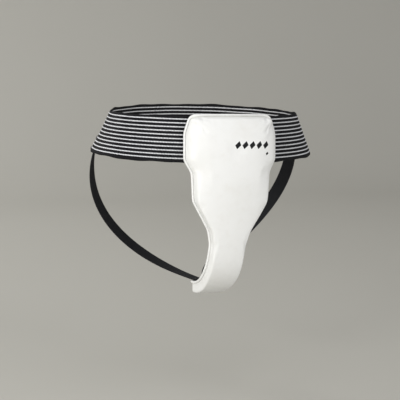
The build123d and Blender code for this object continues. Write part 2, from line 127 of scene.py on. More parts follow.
# %% The pad's pattern
PAD_TOP_Z = 0.0366
TAIL_HALF_WIDTH = 0.024
OUTLINE = [
    (0.0, PAD_TOP_Z, 0),
    (0.060, PAD_TOP_Z, 0.009),
    (0.068, 0.0126, 0.040),
    (0.068, -0.026, 0.016),
    (0.0575, -0.044, 0.024),
    (0.054, -0.086, 0.024),
    (0.0295, -0.128, 0.050),
    (TAIL_HALF_WIDTH, -0.149, 0.040),
]
TAIL_END_HALF_WIDTH = 0.0195
TAIL_NARROWS_AT = 0.038
TAIL_NARROWING_RADIUS = 0.080
TAIL_CORNER = 0.005
PATTERN_STEP = 0.0022
ARC_POINTS = 12
TOP_DROP_REACH = 0.03


def unit(vectors):
    """The same directions with length 1."""
    return vectors / np.linalg.norm(vectors, axis=-1, keepdims=True)


def travelled(path):
    """Distance gone at each point of a path."""
    return np.r_[0, np.cumsum(np.linalg.norm(np.diff(path, axis=0), axis=1))]


def rounded_path(corners):
    """Points along a path whose inner corners (x, run, radius) are rounded by arcs."""
    path = [np.array(corners[0][:2])]
    for before, corner, after in zip(corners, corners[1:], corners[2:]):
        here = np.array(corner[:2])
        back = unit(np.array(before[:2]) - here)
        ahead = unit(np.array(after[:2]) - here)
        half = math.acos(np.clip(back @ ahead, -1, 1)) / 2
        centre = here + unit(back + ahead) * corner[2] / math.sin(half)
        first = here + back * corner[2] / math.tan(half) - centre
        last = here + ahead * corner[2] / math.tan(half) - centre
        turn = math.atan2(first[0] * last[1] - first[1] * last[0], first @ last)
        for share in np.linspace(0, 1, ARC_POINTS):
            c, s = math.cos(turn * share), math.sin(turn * share)
            path.append(centre + np.array([first[0] * c - first[1] * s, first[0] * s + first[1] * c]))
    path.append(np.array(corners[-1][:2]))
    return np.array(path)


def evenly(path, step):
    """The same path with points a step apart."""
    lengths = travelled(path)
    places = np.linspace(0, lengths[-1], max(2, round(lengths[-1] / step)) + 1)
    return np.stack([np.interp(places, lengths, path[:, axis]) for axis in range(path.shape[1])], axis=-1)


def half_outline(outset=0.0, top_drop=0.0):
    """Right half of the pattern from the top's middle to the tail end's middle, grown by an outset."""
    corners = [(x, run_at(z), radius) for x, z, radius in OUTLINE]
    corners.append((TAIL_HALF_WIDTH, TAIL_NARROWS_AT, TAIL_NARROWING_RADIUS))
    corners.append((TAIL_END_HALF_WIDTH, TAIL_RUN, TAIL_CORNER))
    corners.append((0.0, TAIL_RUN, 0))
    path = evenly(rounded_path(corners), PATTERN_STEP)
    along = np.gradient(path, axis=0)
    along[0] = -along[-1]
    path = path + unit(np.stack([along[:, 1], -along[:, 0]], axis=-1)) * outset
    path[[0, -1], 0] = 0
    path[:, 1] += top_drop * np.clip(1 - (path[:, 1] - path[0, 1]) / TOP_DROP_REACH, 0, 1)
    return path


def whole_outline(outset=0.0, top_drop=0.0):
    """Closed pattern, down the right side and up the left."""
    right = half_outline(outset, top_drop)
    left = right[-2:0:-1] * [-1, 1]
    return np.concatenate([right, left])


print("pattern points", len(whole_outline()), "widest", round(whole_outline()[:, 0].max(), 4))

# %% [markdown]
# The waistband is a ribbon whose plan is an oval and which leans outward towards its lower edge,
# as elastic does over hips. Its own space is measured by a turn round the waist from the front
# middle, a height up the band and a depth in or out of its outer face.

# %% The waistband's curved space
WAIST_HALF_WIDTH = 0.155
WAIST_HALF_DEPTH = 0.097
WAIST_CENTRE_Y = 0.005
FRONT_LEAN, SIDE_LEAN, REAR_LEAN = (math.radians(lean) for lean in (5, 23.5, 12))


def waist_axes(turn):
    """Middle of the band's outer face at a turn, with the directions up the band and out of it."""
    turn = np.asarray(turn, float)
    zero = np.zeros_like(turn)
    end_lean = np.where(np.cos(turn) > 0, FRONT_LEAN, REAR_LEAN)
    lean = (end_lean + (SIDE_LEAN - end_lean) * np.sin(turn) ** 2)[..., None]
    middle = np.stack(
        [WAIST_HALF_WIDTH * np.sin(turn), WAIST_CENTRE_Y - WAIST_HALF_DEPTH * np.cos(turn), zero], axis=-1
    )
    outward = np.stack([WAIST_HALF_DEPTH * np.sin(turn), -WAIST_HALF_WIDTH * np.cos(turn), zero], axis=-1)
    outward = unit(outward)
    up = np.array([0.0, 0.0, 1.0])
    return middle, up * np.cos(lean) - outward * np.sin(lean), outward * np.cos(lean) + up * np.sin(lean)


def waist_point(turn, height, depth):
    """Places on the waistband, for arrays of turn, height and depth."""
    turn, height, depth = np.broadcast_arrays(turn, height, depth)
    middle, upward, facing = waist_axes(turn)
    return middle + upward * height[..., None] + facing * depth[..., None]


def rear_turn(x):
    """Turn at which the back of the waistband passes a place across the body."""
    return math.pi - math.asin(x / WAIST_HALF_WIDTH)


print("side of the waist", waist_point(math.pi / 2, 0.0, 0.0).round(4))

# %% [markdown]
# Blender meshes are lists of points and faces. Most pieces here are grids: rows of points along a
# strap or round a pattern. A grid may close on itself in one direction, like a tube, and its ends
# may be capped. Each piece also gets a flat map in metres, so that a weave can be drawn at its
# real pitch.

# %% Mesh helpers
CREASE_ANGLE = math.radians(40)


def grid_faces(rows, columns, closed=False, capped=False):
    """Quads between rows of points, closed round each row and capped at both ends if asked."""
    last = columns if closed else columns - 1
    faces = [
        (r * columns + c, r * columns + (c + 1) % columns,
         (r + 1) * columns + (c + 1) % columns, (r + 1) * columns + c)
        for r in range(rows - 1)
        for c in range(last)
    ]
    if capped:
        faces.append(tuple(reversed(range(columns))))
        faces.append(tuple(range((rows - 1) * columns, rows * columns)))
    return faces


def shifted(faces, first):
    """The same faces, for points that are numbered from first."""
    return [tuple(first + index for index in face) for face in faces]


def make_piece(name, points, faces, finish, flat=None, body="guard", slot=None, replaces=()):
    """A mesh object that rides on a body; flat gives each point's place on the unrolled cloth."""
    mesh = bpy.data.meshes.new(name)
    mesh.from_pydata([tuple(point) for point in np.reshape(points, (-1, 3))], [], faces)
    if flat is not None:
        flat = np.reshape(flat, (-1, 2))
        layer = mesh.uv_layers.new(name="flat")
        corners = np.zeros(len(mesh.loops), int)
        mesh.loops.foreach_get("vertex_index", corners)
        layer.data.foreach_set("uv", flat[corners].ravel())
    work = bmesh.new()
    work.from_mesh(mesh)
    bmesh.ops.remove_doubles(work, verts=work.verts, dist=1e-6)
    bmesh.ops.recalc_face_normals(work, faces=work.faces)
    work.to_mesh(mesh)
    work.free()
    mesh.shade_smooth()
    piece = bpy.data.objects.new(name, mesh)
    bpy.context.collection.objects.link(piece)
    mesh.materials.append(finish)
    if body:
        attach(piece, body)
    if replaces:
        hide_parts(*replaces)
    return piece


def flat_grid(along, across):
    """Places on the unrolled cloth, for a column of distances along it and a row across."""
    return np.stack(np.broadcast_arrays(along, across), axis=-1)


def crisp_corners(piece):
    """Keeps corners crisp and curves smooth."""
    piece.data.set_sharp_from_angle(angle=CREASE_ANGLE)


def rounded(piece):
    """Subdivides the finished mesh once, which rounds what is left of its facets."""
    piece.modifiers.new("Rounding", "SUBSURF").render_levels = 1


def evaluated_points(piece):
    """The piece's points with its modifiers applied."""
    shape = piece.evaluated_get(bpy.context.evaluated_depsgraph_get()).to_mesh()
    points = np.zeros(len(shape.vertices) * 3)
    shape.vertices.foreach_get("co", points)
    return points.reshape(-1, 3)


print("helpers ready")

# %% [markdown]
# A finish in Blender is a graph of nodes, and the maths in it is easier to read as arithmetic.
# The small class below wraps one socket, so that `1 - mask` or `grain * 0.2` adds the Math nodes
# that it needs. Colours are mixed by a Mix node, because a Math node would turn them grey.

# %% Shader arithmetic
def feed(tree, place, value):
    """Links a wire to a socket, or sets the socket's own value."""
    if isinstance(value, Wire):
        tree.links.new(value.socket, place)
    else:
        place.default_value = value


class Wire:
    """An output socket that ordinary arithmetic can be done with."""

    def __init__(self, tree, socket):
        self.tree = tree
        self.socket = socket

    def maths(self, operation, *values):
        node = self.tree.nodes.new("ShaderNodeMath")
        node.operation = operation
        for place, value in zip(node.inputs, values):
            feed(self.tree, place, value)
        return Wire(self.tree, node.outputs[0])

    def __add__(self, other):
        return self.maths("ADD", self, other)

    def __sub__(self, other):
        return self.maths("SUBTRACT", self, other)

    def __rsub__(self, other):
        return self.maths("SUBTRACT", other, self)

    def __mul__(self, other):
        return self.maths("MULTIPLY", self, other)

    def __gt__(self, other):
        return self.maths("GREATER_THAN", self, other)

    __radd__ = __add__
    __rmul__ = __mul__

    def wave(self, pitch):
        """A smooth ripple from 0 to 1 that repeats at a pitch in metres."""
        return self.maths("SINE", self * (2 * math.pi / pitch)) * 0.5 + 0.5

    def ramp(self, low, high):
        """0 below low and 1 above high, with a soft step between them."""
        node = self.tree.nodes.new("ShaderNodeMapRange")
        node.interpolation_type = "SMOOTHSTEP"
        self.tree.links.new(self.socket, node.inputs["Value"])
        node.inputs["From Min"].default_value = low
        node.inputs["From Max"].default_value = high
        return Wire(self.tree, node.outputs[0])


def linear(red, green, blue):
    """A colour chosen on the usual 0 to 255 scale, as the light values that shaders use."""
    return tuple(
        (c / 255 / 12.92 if c / 255 <= 0.04045 else ((c / 255 + 0.055) / 1.055) ** 2.4)
        for c in (red, green, blue)
    ) + (1.0,)


class Finish:
    """A material built round one Principled shader, whose plain values are set by name."""

    def __init__(self, name, **plain):
        self.material = bpy.data.materials.new(name)
        self.material.use_nodes = True
        self.tree = self.material.node_tree
        self.shader = self.tree.nodes["Principled BSDF"]
        for socket, value in plain.items():
            self.shader.inputs[socket.replace("_", " ")].default_value = value

    def node(self, kind, settings=None, output=0, **values):
        """Any node: its settings first, then the value or link of each socket."""
        made = self.tree.nodes.new(kind)
        for setting, value in (settings or {}).items():
            setattr(made, setting, value)
        for socket, value in values.items():
            key = int(socket[1:]) if socket[1:].isdigit() else socket.replace("_", " ")
            feed(self.tree, made.inputs[key], value)
        return Wire(self.tree, made.outputs[output])

    def mix(self, mask, first, second):
        """The first colour where the mask is 0 and the second where it is 1; plain ones go to 255."""
        first, second = (linear(*tone) if isinstance(tone, tuple) else tone for tone in (first, second))
        return self.node("ShaderNodeMix", {"data_type": "RGBA"}, 2, _0=mask, _6=first, _7=second)

    def noise(self, scale, detail=3.0, roughness=0.55):
        """Cloudy noise through the object's own space."""
        space = self.node("ShaderNodeTexCoord", output=3)
        return self.node("ShaderNodeTexNoise", Vector=space, Scale=scale, Detail=detail, Roughness=roughness)

    def cloth(self):
        """Along and across on the flat cloth, in metres."""
        flat = self.node("ShaderNodeUVMap", {"uv_map": "flat"})
        split = self.tree.nodes.new("ShaderNodeSeparateXYZ")
        self.tree.links.new(flat.socket, split.inputs[0])
        return Wire(self.tree, split.outputs[0]), Wire(self.tree, split.outputs[1])

    def wear(self, colour, roughness, height=None, distance=0.0):
        """Gives the shader its colour, roughness and relief, and returns the finished material."""
        sockets = {"Base Color": colour, "Roughness": roughness}
        if height:
            sockets["Normal"] = self.node("ShaderNodeBump", Height=height, Distance=distance)
        for socket, wire in sockets.items():
            self.tree.links.new(wire.socket, self.shader.inputs[socket])
        return self.material


print("shader helpers ready")

# %% [markdown]
# The pad's outside is a smooth coated textile, almost white. Up close it has a very fine grain, a
# faint unevenness of tone where hands have touched it, and a satin gloss that varies a little.
# Noise at three scales gives those, through the object's own space, so nothing repeats.

# %% The white outer skin
GRAIN_SIZE = 0.0007
GRAIN_HEIGHT = 0.00012


def coated(name, light, shade, gloss):
    """Smooth coated textile in two close tones."""
    finish = Finish(name, Sheen_Weight=0.12, Sheen_Roughness=0.4, Specular_IOR_Level=0.42)
    clouds = finish.noise(16.0, 4.0)
    mottling = finish.noise(85.0, 3.0)
    grain = finish.noise(1 / GRAIN_SIZE, 2.0)
    creases = finish.noise(38.0, 5.0, 0.62)
    tone = clouds.ramp(0.42, 0.75) * 0.6 + mottling.ramp(0.45, 0.8) * 0.4
    return finish.wear(
        finish.mix(tone, light, shade), gloss + mottling * 0.16 + grain * 0.05,
        grain * 0.5 + mottling * 0.9 + creases * 2.2, GRAIN_HEIGHT,
    )


skin_finish = coated("white_skin", (242, 242, 240), (234, 233, 229), 0.40)
piping_finish = coated("white_piping", (245, 245, 243), (236, 235, 231), 0.34)
print("finishes", skin_finish.name, piping_finish.name)

# %% [markdown]
# Woven cloth is two sets of threads that go over and under each other. Two ripples along the flat
# map, multiplied and crossed, make that pattern at the real thread pitch. The same helper serves
# the cotton lining, the black tapes and the satin of the label, with other pitches and tones.

# %% Woven cloths
def woven(name, light, shade, pitch_along, pitch_across, height, gloss, **plain):
    """Plain weave with the given thread pitches, two tones and a thread height; gaps get painted shade."""
    finish = Finish(name, **plain)
    along, across = finish.cloth()
    fuzz = finish.noise(900.0, 4.0)
    clouds = finish.noise(30.0, 4.0)
    warp = along.wave(pitch_along)
    weft = across.wave(pitch_across)
    over = (along.wave(pitch_along * 2) - 0.5) * (across.wave(pitch_across * 2) - 0.5) * 2 + 0.5
    threads = warp * (1 - over) + weft * over
    # Partly painted shade: the tone darkens where the threads sink, in the gaps; fuzz and clouds add random
    # tone.
    tone = (1 - threads) * 0.65 + fuzz * 0.25 + clouds.ramp(0.4, 0.8) * 0.25
    colour = finish.mix(tone, light, shade)
    return finish.wear(colour, gloss + fuzz * 0.15, threads + fuzz * 0.4, height)


# The second colour of each woven finish is its painted shade in the thread gaps and its random darker tone.
cotton_finish = woven("cotton_lining", (238, 238, 232), (203, 202, 194), 0.0009, 0.0009, 0.00014, 0.78,
                      Sheen_Weight=0.25)
tape_finish = woven("black_tape", (27, 28, 32), (6, 6, 8), 0.0011, 0.0014, 0.00022, 0.68,
                    Specular_IOR_Level=0.35)
label_finish = woven("label_satin", (240, 239, 235), (216, 214, 208), 0.0004, 0.0016, 0.00005, 0.35)
print("woven finishes", cotton_finish.name, tape_finish.name, label_finish.name)

# %% [markdown]
# The waistband is knitted elastic: a black ground of fine ribs with eleven raised white stripes.
# Each white stripe is a row of beads, because its yarn loops over the rubber core at a steady
# pitch. The stripes' relief is in the mesh; the finish colours them and adds the beads, the black
# that shows between them and the ribbing of the ground.

# %% The striped elastic
BAND_WIDTH = 0.065
BAND_THICKNESS = 0.002
STRIPES = 11
STRIPE_PITCH = 0.00545
STRIPE_WIDTH = 0.0018
TOP_STRIPE = BAND_WIDTH / 2 - 0.0046
BEAD_PITCH = 0.0021


def striped_elastic():
    finish = Finish("striped_elastic", Specular_IOR_Level=0.3)
    along, height = finish.cloth()
    fuzz = finish.noise(1100.0, 4.0)
    soil = finish.noise(45.0, 4.0)
    down = (TOP_STRIPE - height) * (1 / STRIPE_PITCH) + 0.5
    phase = down.maths("FRACT", down)
    from_middle = phase.maths("ABSOLUTE", phase - 0.5) * STRIPE_PITCH
    row = down.maths("FLOOR", down)
    bead = (along + row * (BEAD_PITCH / 2)).wave(BEAD_PITCH)
    edge = STRIPE_WIDTH / 2 * 0.62 + bead * (STRIPE_WIDTH / 2 * 0.42)
    inside = (from_middle - edge).ramp(0.0002, -0.0002)
    inside = inside * (row > -0.5) * (STRIPES - 0.5 - row).ramp(0.0, 0.1)
    ribs = along.wave(0.0012)
    cross = height.wave(0.0009)
    # Partly painted shade: the white darkens in the dips between beads, where the relief is low; fuzz adds
    # random tone and soil random dirt.
    tone = (1 - bead) * 0.5 + fuzz * 0.3 + soil.ramp(0.5, 0.8) * 0.2
    white = finish.mix(tone, (250, 250, 252), (170, 172, 180))
    # Painted highlight: the black ground is lighter on its raised ribs; fuzz adds random tone.
    black = finish.mix(ribs * 0.5 + fuzz * 0.4, (2, 2, 4), (11, 11, 16))
    height = inside * bead * 1.4 + (1 - inside) * (ribs * 0.5 + cross * 0.4) + fuzz * 0.3
    return finish.wear(finish.mix(inside, black, white), 0.72 + fuzz * 0.2, height, 0.0003)


band_finish = striped_elastic()
print("stripes", STRIPES, "at", STRIPE_PITCH)

# %% [markdown]
# Four more soft finishes: the ribbed elastic of the leg straps, the brushed loops and the moulded
# hooks of the closure, and twisted thread. Each differs mostly in its relief: long ribs, felted
# noise, or a slanted twist.

# %% Elastic, hook, loop and thread finishes
def ribbed_elastic():
    finish = Finish("black_elastic", Specular_IOR_Level=0.35)
    along, across = finish.cloth()
    fuzz = finish.noise(900.0, 4.0)
    ribs = across.wave(0.0022)
    knit = (along + across.wave(0.0022) * 0.0006).wave(0.0013)
    # Painted highlight and shade: the elastic is lighter on its raised ribs and knit loops and darker in the
    # grooves; fuzz adds random tone.
    colour = finish.mix(ribs * 0.5 + knit * 0.25 + fuzz * 0.25, (4, 4, 6), (26, 27, 32))
    return finish.wear(colour, 0.68 + fuzz * 0.2, knit * 0.7 + ribs * 0.4 + fuzz * 0.3, 0.00025)


def brushed_loop():
    finish = Finish("loop_pile", Sheen_Weight=0.15, Sheen_Roughness=0.5)
    fibres = finish.noise(1600.0, 6.0, 0.7)
    tufts = finish.noise(420.0, 5.0, 0.65)
    # Partly painted light: the pile is lighter where the same noise raises it and darker in its hollows,
    # besides varying at random.
    colour = finish.mix(tufts * 0.6 + fibres * 0.4, (7, 7, 9), (44, 45, 50))
    return finish.wear(colour, 0.8 + fibres * 0.15, fibres + tufts, 0.0006)


def moulded(name, light, shade, gloss, bumpiness, **plain):
    """Moulded plastic or rubber with a spark-eroded surface."""
    finish = Finish(name, **plain)
    texture = finish.noise(1400.0, 3.0)
    flow = finish.noise(22.0, 3.0)
    colour = finish.mix(flow.ramp(0.35, 0.75) * 0.7 + texture * 0.3, light, shade)
    return finish.wear(colour, gloss + texture * 0.12 + flow * 0.08, texture + flow * 0.6, bumpiness)


def twisted_thread(name, light, shade):
    finish = Finish(name, Sheen_Weight=0.2)
    where = finish.node("ShaderNodeTexCoord", output=3)
    twist = finish.node(
        "ShaderNodeTexWave", {"bands_direction": "DIAGONAL"}, 1, Vector=where, Scale=620.0, Distortion=1.5
    )
    fuzz = finish.noise(1500.0, 3.0)
    colour = finish.mix(twist * 0.7 + fuzz * 0.3, light, shade)
    return finish.wear(colour, 0.55 + fuzz * 0.2, twist, 0.0001)


elastic_finish = ribbed_elastic()
loop_finish = brushed_loop()
hook_finish = moulded("hook_plastic", (40, 41, 45), (18, 18, 21), 0.38, 0.00005)
cup_finish = moulded("cup_plastic", (240, 240, 236), (226, 226, 220), 0.36, 0.00005, Subsurface_Weight=0.08,
                     Subsurface_Scale=0.004)
rim_finish = moulded("cup_rim_rubber", (226, 226, 221), (206, 205, 199), 0.55, 0.00008)
ink_finish = moulded("print_ink", (12, 12, 14), (6, 6, 8), 0.55, 0.00003, Specular_IOR_Level=0.3)
white_thread = twisted_thread("white_thread", (246, 246, 242), (214, 213, 206))
black_thread = twisted_thread("black_thread", (30, 30, 34), (8, 8, 10))
print("finishes made", len(bpy.data.materials))

# %% [markdown]
# The front cover is the coated skin over the front foam. Seen from the front it is a broad, nearly
# flat face with soft rounded shoulders at the waist, which turn lower down into a crisp edge with a
# narrow side wall. A grid of rings suits this: the outer rings follow the pattern's outline down
# the side wall and round the shoulder, and the inner ones shrink towards a middle line, so the
# quads stay even and the edge stays true to the pattern.

# %% Rings that fill the pattern
MOUTH_DROP = 0.0021
SPINE_TOP = run_at(PAD_TOP_Z) + 0.056
SPINE_BOTTOM = TAIL_RUN - 0.021
LEAST_COSINE = 0.55


def inward_rays(outline):
    """Directions from each outline point to the pattern's middle line, their lengths and cosines."""
    targets = np.stack([outline[:, 0] * 0, np.clip(outline[:, 1], SPINE_TOP, SPINE_BOTTOM)], axis=-1)
    rays = targets - outline
    lengths = np.linalg.norm(rays, axis=1)
    along = np.roll(outline, -1, axis=0) - np.roll(outline, 1, axis=0)
    inward = unit(np.stack([-along[:, 1], along[:, 0]], axis=-1))
    rays /= lengths[:, None]
    cosines = np.maximum(np.abs((rays * inward).sum(axis=1)), LEAST_COSINE)
    return rays, lengths, cosines


def smooth(values, low, high):
    """0 below low, 1 above high, with a soft step between."""
    share = np.clip((np.asarray(values, float) - low) / (high - low), 0, 1)
    return share * share * (3 - 2 * share)


def between(first, second, share):
    """First where the share is 0 and second where it is 1."""
    return first * (1 - share) + second * share


SHOULDER_WIDTH = 0.0125
LOWER_EDGE_WIDTH = 0.0042
TOP_EDGE_WIDTH = 0.0052
COVER_DEPTH = 0.0134
MOUTH_DEPTH = 0.0078
SHOULDER_SQUARENESS = 2.15
LOWER_SQUARENESS = 5.5
TOP_SQUARENESS = 2.1


def shoulder_shape(outline):
    """Width, depth and squareness of the pad's edge at each outline point."""
    x, run = np.abs(outline[:, 0]), outline[:, 1]
    top = 1 - smooth(run, run_at(PAD_TOP_Z) + 0.004, run_at(PAD_TOP_Z) + 0.012)
    open_mouth = top * (1 - smooth(x, 0.046, 0.052))
    lower = smooth(run, run_at(-0.035), run_at(-0.105))
    width = between(between(SHOULDER_WIDTH, LOWER_EDGE_WIDTH, lower), TOP_EDGE_WIDTH, top)
    depth = between(COVER_DEPTH, MOUTH_DEPTH, open_mouth)
    squareness = between(between(SHOULDER_SQUARENESS, LOWER_SQUARENESS, lower), TOP_SQUARENESS, top)
    return width, depth, squareness


EDGE_RINGS = 14
FACE_RINGS = 26


def cover_rings():
    """Across, along and behind for every ring of the front cover, from its back edge to its middle."""
    outline = whole_outline(0.0, MOUTH_DROP)
    rays, lengths, cosines = inward_rays(outline)
    width, depth, squareness = shoulder_shape(outline)
    rings = []
    for angle in np.linspace(0, math.pi / 2, EDGE_RINGS):
        inset = width * (1 - math.cos(angle) ** (2 / squareness))
        behind = depth * (1 - math.sin(angle) ** (2 / squareness))
        place = outline + rays * (np.minimum(inset / cosines, lengths * 0.7))[:, None]
        rings.append(np.c_[place, behind])
    start = rings[-1][:, :2]
    middle = outline + rays * lengths[:, None]
    for share in np.linspace(0, 1, FACE_RINGS)[1:]:
        place = start + (middle - start) * share
        rings.append(np.c_[place, 0 * depth])
    return np.array(rings)


rings = cover_rings()
print("cover rings", rings.shape)

# %% [markdown]
# Foam under a sewn cover pushes it out a little, and the skin settles into a taut, even surface.
# Blender's Cloth does that: the cover's back edge is pinned where it is sewn, air pressure stands
# for the foam, gravity is off, and twenty short steps are enough. How far any point may move is
# capped, so the pad keeps its size. The same helper serves the back panel.

# %% Puffing with Cloth
SIM_FRAMES = 20
CLOTH_STIFFNESS = 15.0


def puff(piece, pinned, pressure, cap):
    """Lets cloth pressure shape a piece whose pinned points stay sewn down."""
    group = piece.vertex_groups.new(name="sewn")
    group.add([int(index) for index in pinned], 1.0, "REPLACE")
    rest = evaluated_points(piece)
    modifier = piece.modifiers.new("Cloth", "CLOTH")
    cloth = modifier.settings
    cloth.quality = 5
    cloth.mass = 0.25
    cloth.tension_stiffness = CLOTH_STIFFNESS
    cloth.compression_stiffness = CLOTH_STIFFNESS
    cloth.shear_stiffness = CLOTH_STIFFNESS / 2
    cloth.bending_stiffness = 0.6
    cloth.vertex_group_mass = group.name
    cloth.pin_stiffness = 1.0
    cloth.use_pressure = True
    cloth.uniform_pressure_force = pressure
    cloth.effector_weights.gravity = 0.0
    modifier.collision_settings.use_collision = False
    scene = bpy.context.scene
    for step in range(1, SIM_FRAMES + 1):
        scene.frame_set(step)
    shaped = evaluated_points(piece)
    piece.modifiers.remove(modifier)
    scene.frame_set(1)
    move = shaped - rest
    far = np.linalg.norm(move, axis=1, keepdims=True)
    move *= np.minimum(1, cap / np.maximum(far, 1e-9))
    piece.data.vertices.foreach_set("co", (rest + move).astype(np.float32).ravel())
    piece.data.update()
    print(piece.name, "puffed by up to", round(float(far.max()), 5), "capped at", cap)


def points_near(piece, places, reach):
    """Indices of the piece's points within reach of any of the places."""
    places = np.reshape(places, (-1, 3))
    tree = KDTree(len(places))
    for index, place in enumerate(places):
        tree.insert(place, index)
    tree.balance()
    return [vertex.index for vertex in piece.data.vertices if tree.find(vertex.co)[2] < reach]


# %% [markdown]
# The cover is made from its rings. The rings at its back edge are pinned, where it is sewn, and the
# rest may swell by under two millimetres. A subdivision afterwards rounds what is left of the
# facets. Along the open top the skin sinks very slightly between the corners, because no seam holds
# it there.

# %% The front cover
SAG_DEPTH = 0.0012
SAG_HALF_WIDTH = 0.06
SAG_REACH = 0.05


def sag(x, run):
    """How far behind the pattern the face lies: the top edge hangs a little between its corners."""
    near_top = 1 - smooth(run, run_at(PAD_TOP_Z), run_at(PAD_TOP_Z) + SAG_REACH)
    return near_top * SAG_DEPTH * np.cos(np.clip(x / SAG_HALF_WIDTH, -1, 1) * math.pi / 2)


def ring_piece(name, rings, finish, **facts):
    """A piece from closed rings of (across, along, behind), the last of which shrinks to a line."""
    count, around = rings.shape[:2]
    return make_piece(
        name, pad_places(rings), grid_faces(count, around, closed=True), finish, flat=rings[..., :2], **facts
    )


rings[..., 2] += sag(rings[..., 0], rings[..., 1]) * smooth(np.arange(len(rings)), 4, 14)[:, None]
cover = ring_piece(
    "cover", rings, skin_finish, slot="white_skin", replaces=("front_cover", "front_foam")
)
SEWN_RINGS = 3
sewn = points_near(cover, pad_places(rings[:SEWN_RINGS]), 1e-5)
puff(cover, sewn, pressure=4.0, cap=0.0018)
rounded(cover)
print("cover points", len(cover.data.vertices))

# %% [markdown]
# The back panel is a cotton lining over a thinner foam, as tall as the pattern, so its top edge
# stands above the mouth of the pocket. It is a cushion with two faces: rings go from the middle of
# the pocket side out to the edge and back in to the middle of the body side.

# %% The back panel
PAD_THICKNESS = 0.017
CUSHION_EDGE_RINGS = 7


def cushion_rings(front, back, inset, edge_width):
    """Rings for a cushion between two depths: its front face, its round edge and its back face."""
    outline = whole_outline(-inset)
    rays, lengths, cosines = inward_rays(outline)
    middle = outline + rays * lengths[:, None]
    half = (back - front) / 2
    edge = []
    for angle in np.linspace(-math.pi / 2, math.pi / 2, CUSHION_EDGE_RINGS):
        in_by = edge_width * (1 - math.cos(angle))
        place = outline + rays * (in_by / cosines)[:, None]
        edge.append(np.c_[place, np.full(len(outline), front + half + half * math.sin(angle))])
    rim = edge[0][:, :2]
    inner = [rim + (middle - rim) * share for share in np.linspace(1, 0, FACE_RINGS)[:-1]]
    face = [np.c_[place, np.full(len(outline), front)] for place in inner]
    rear = [np.c_[place, np.full(len(outline), back)] for place in reversed(inner)]
    return np.array(face + edge + rear)


rings = cushion_rings(COVER_DEPTH, PAD_THICKNESS - 0.0004, 0.0003, 0.0022)
back_panel = ring_piece(
    "back_panel", rings, cotton_finish, slot="lining_white", replaces=("back_lining", "back_padding")
)
sewn = points_near(back_panel, pad_places(rings[: FACE_RINGS + 4]), 1e-5)
puff(back_panel, sewn, pressure=3.0, cap=0.0012)
rounded(back_panel)
print("back panel points", len(back_panel.data.vertices), "sewn", len(sewn))

# %% [markdown]
# Piping is a cord wrapped in a strip cut on the bias, sewn into the seam between two panels. It is
# a tube swept round the outline, and its strip puckers very slightly where it is eased round the
# corners, so the tube's radius ripples a little along its length.

# %% The piping
PIPING_RADIUS = 0.00185
PIPING_DEPTH_AT = 0.0151
PIPING_OUT = 0.0009
PIPING_FLAT_STEP = 0.001


def tube(path, radius, around=12, closed=False):
    """Points of a tube along a path, as rows of rings, with the radius given at each place."""
    along = np.gradient(path, axis=0)
    if closed:
        along = np.roll(path, -1, axis=0) - np.roll(path, 1, axis=0)
    along = unit(along)
    side = np.cross(along[0], [0.3, 0.9, 0.2])
    rows = []
    for place, forward, thick in zip(path, along, np.broadcast_to(radius, len(path))):
        side = unit(side - forward * (side @ forward))
        up = np.cross(forward, side)
        turns = np.linspace(0, 2 * math.pi, around, endpoint=False)
        rows.append(place + thick * (np.outer(np.cos(turns), side) + np.outer(np.sin(turns), up)))
    return np.array(rows)


outline = whole_outline(PIPING_OUT)
route = pad_point(*outline.T, PIPING_DEPTH_AT)
places = np.linspace(0, 2 * math.pi, len(route), endpoint=False)
pucker = 0.00004 * (np.sin(places * 143) + np.sin(places * 97 + 1.0))
rows = tube(route, PIPING_RADIUS + pucker, closed=True)
faces = grid_faces(*rows.shape[:2], closed=True)
last = len(rows) - 1
around = rows.shape[1]
twist = min(range(around), key=lambda k: np.linalg.norm(rows[last][k] - rows[0][0]))
faces += [
    (last * around + (k + twist) % around, last * around + (k + 1 + twist) % around, (k + 1) % around, k)
    for k in range(around)
]
flat = flat_grid(np.arange(len(rows))[:, None] * PATTERN_STEP, np.arange(around) * PIPING_FLAT_STEP)
piping = make_piece(
    "piping", rows, faces, piping_finish, flat=flat, slot="piping", replaces=("edge_piping", "piping_cord")
)
rounded(piping)
print("piping length", round(float(travelled(route)[-1]), 3))

# %% [markdown]
# Behind the front cover a thin sleeve of lining holds the cup. Its mouth is open at the top, so
# the cup can be slid out for washing. A sleeve is a loft of flat loops that follow the cup's
# shape and close at a round nose.

# %% The pocket sleeve
CUP_HALF_WIDTH = 0.050
CUP_BOTTOM_Z = -0.136
CUP_NOSE = 0.032
CUP_MARGIN = 0.011
POCKET_FRONT = 0.0080
POCKET_BACK = 0.0132
POCKET_EASE = 0.0012
SLEEVE_THICKNESS = 0.0004
SLEEVE_CLOSE = 0.012
LOOP_POINTS = 64
LOOP_SQUARENESS = 0.35


def pocket_half_width(z):
    """Half the width of the pocket at a height: straight, then the pad's taper, then a round nose."""
    right = half_outline(-CUP_MARGIN)
    pad = np.interp(run_at(z), right[8:, 1], right[8:, 0])
    below = min(z - (CUP_BOTTOM_Z + CUP_NOSE), 0)
    nose = math.sqrt(max(CUP_NOSE**2 - below**2, 0)) if below else CUP_HALF_WIDTH
    return min(CUP_HALF_WIDTH, pad, nose) + POCKET_EASE


def squarish(values):
    """Turns the sine or cosine of a circle into that of a rounded box."""
    return np.sign(values) * np.abs(values) ** LOOP_SQUARENESS


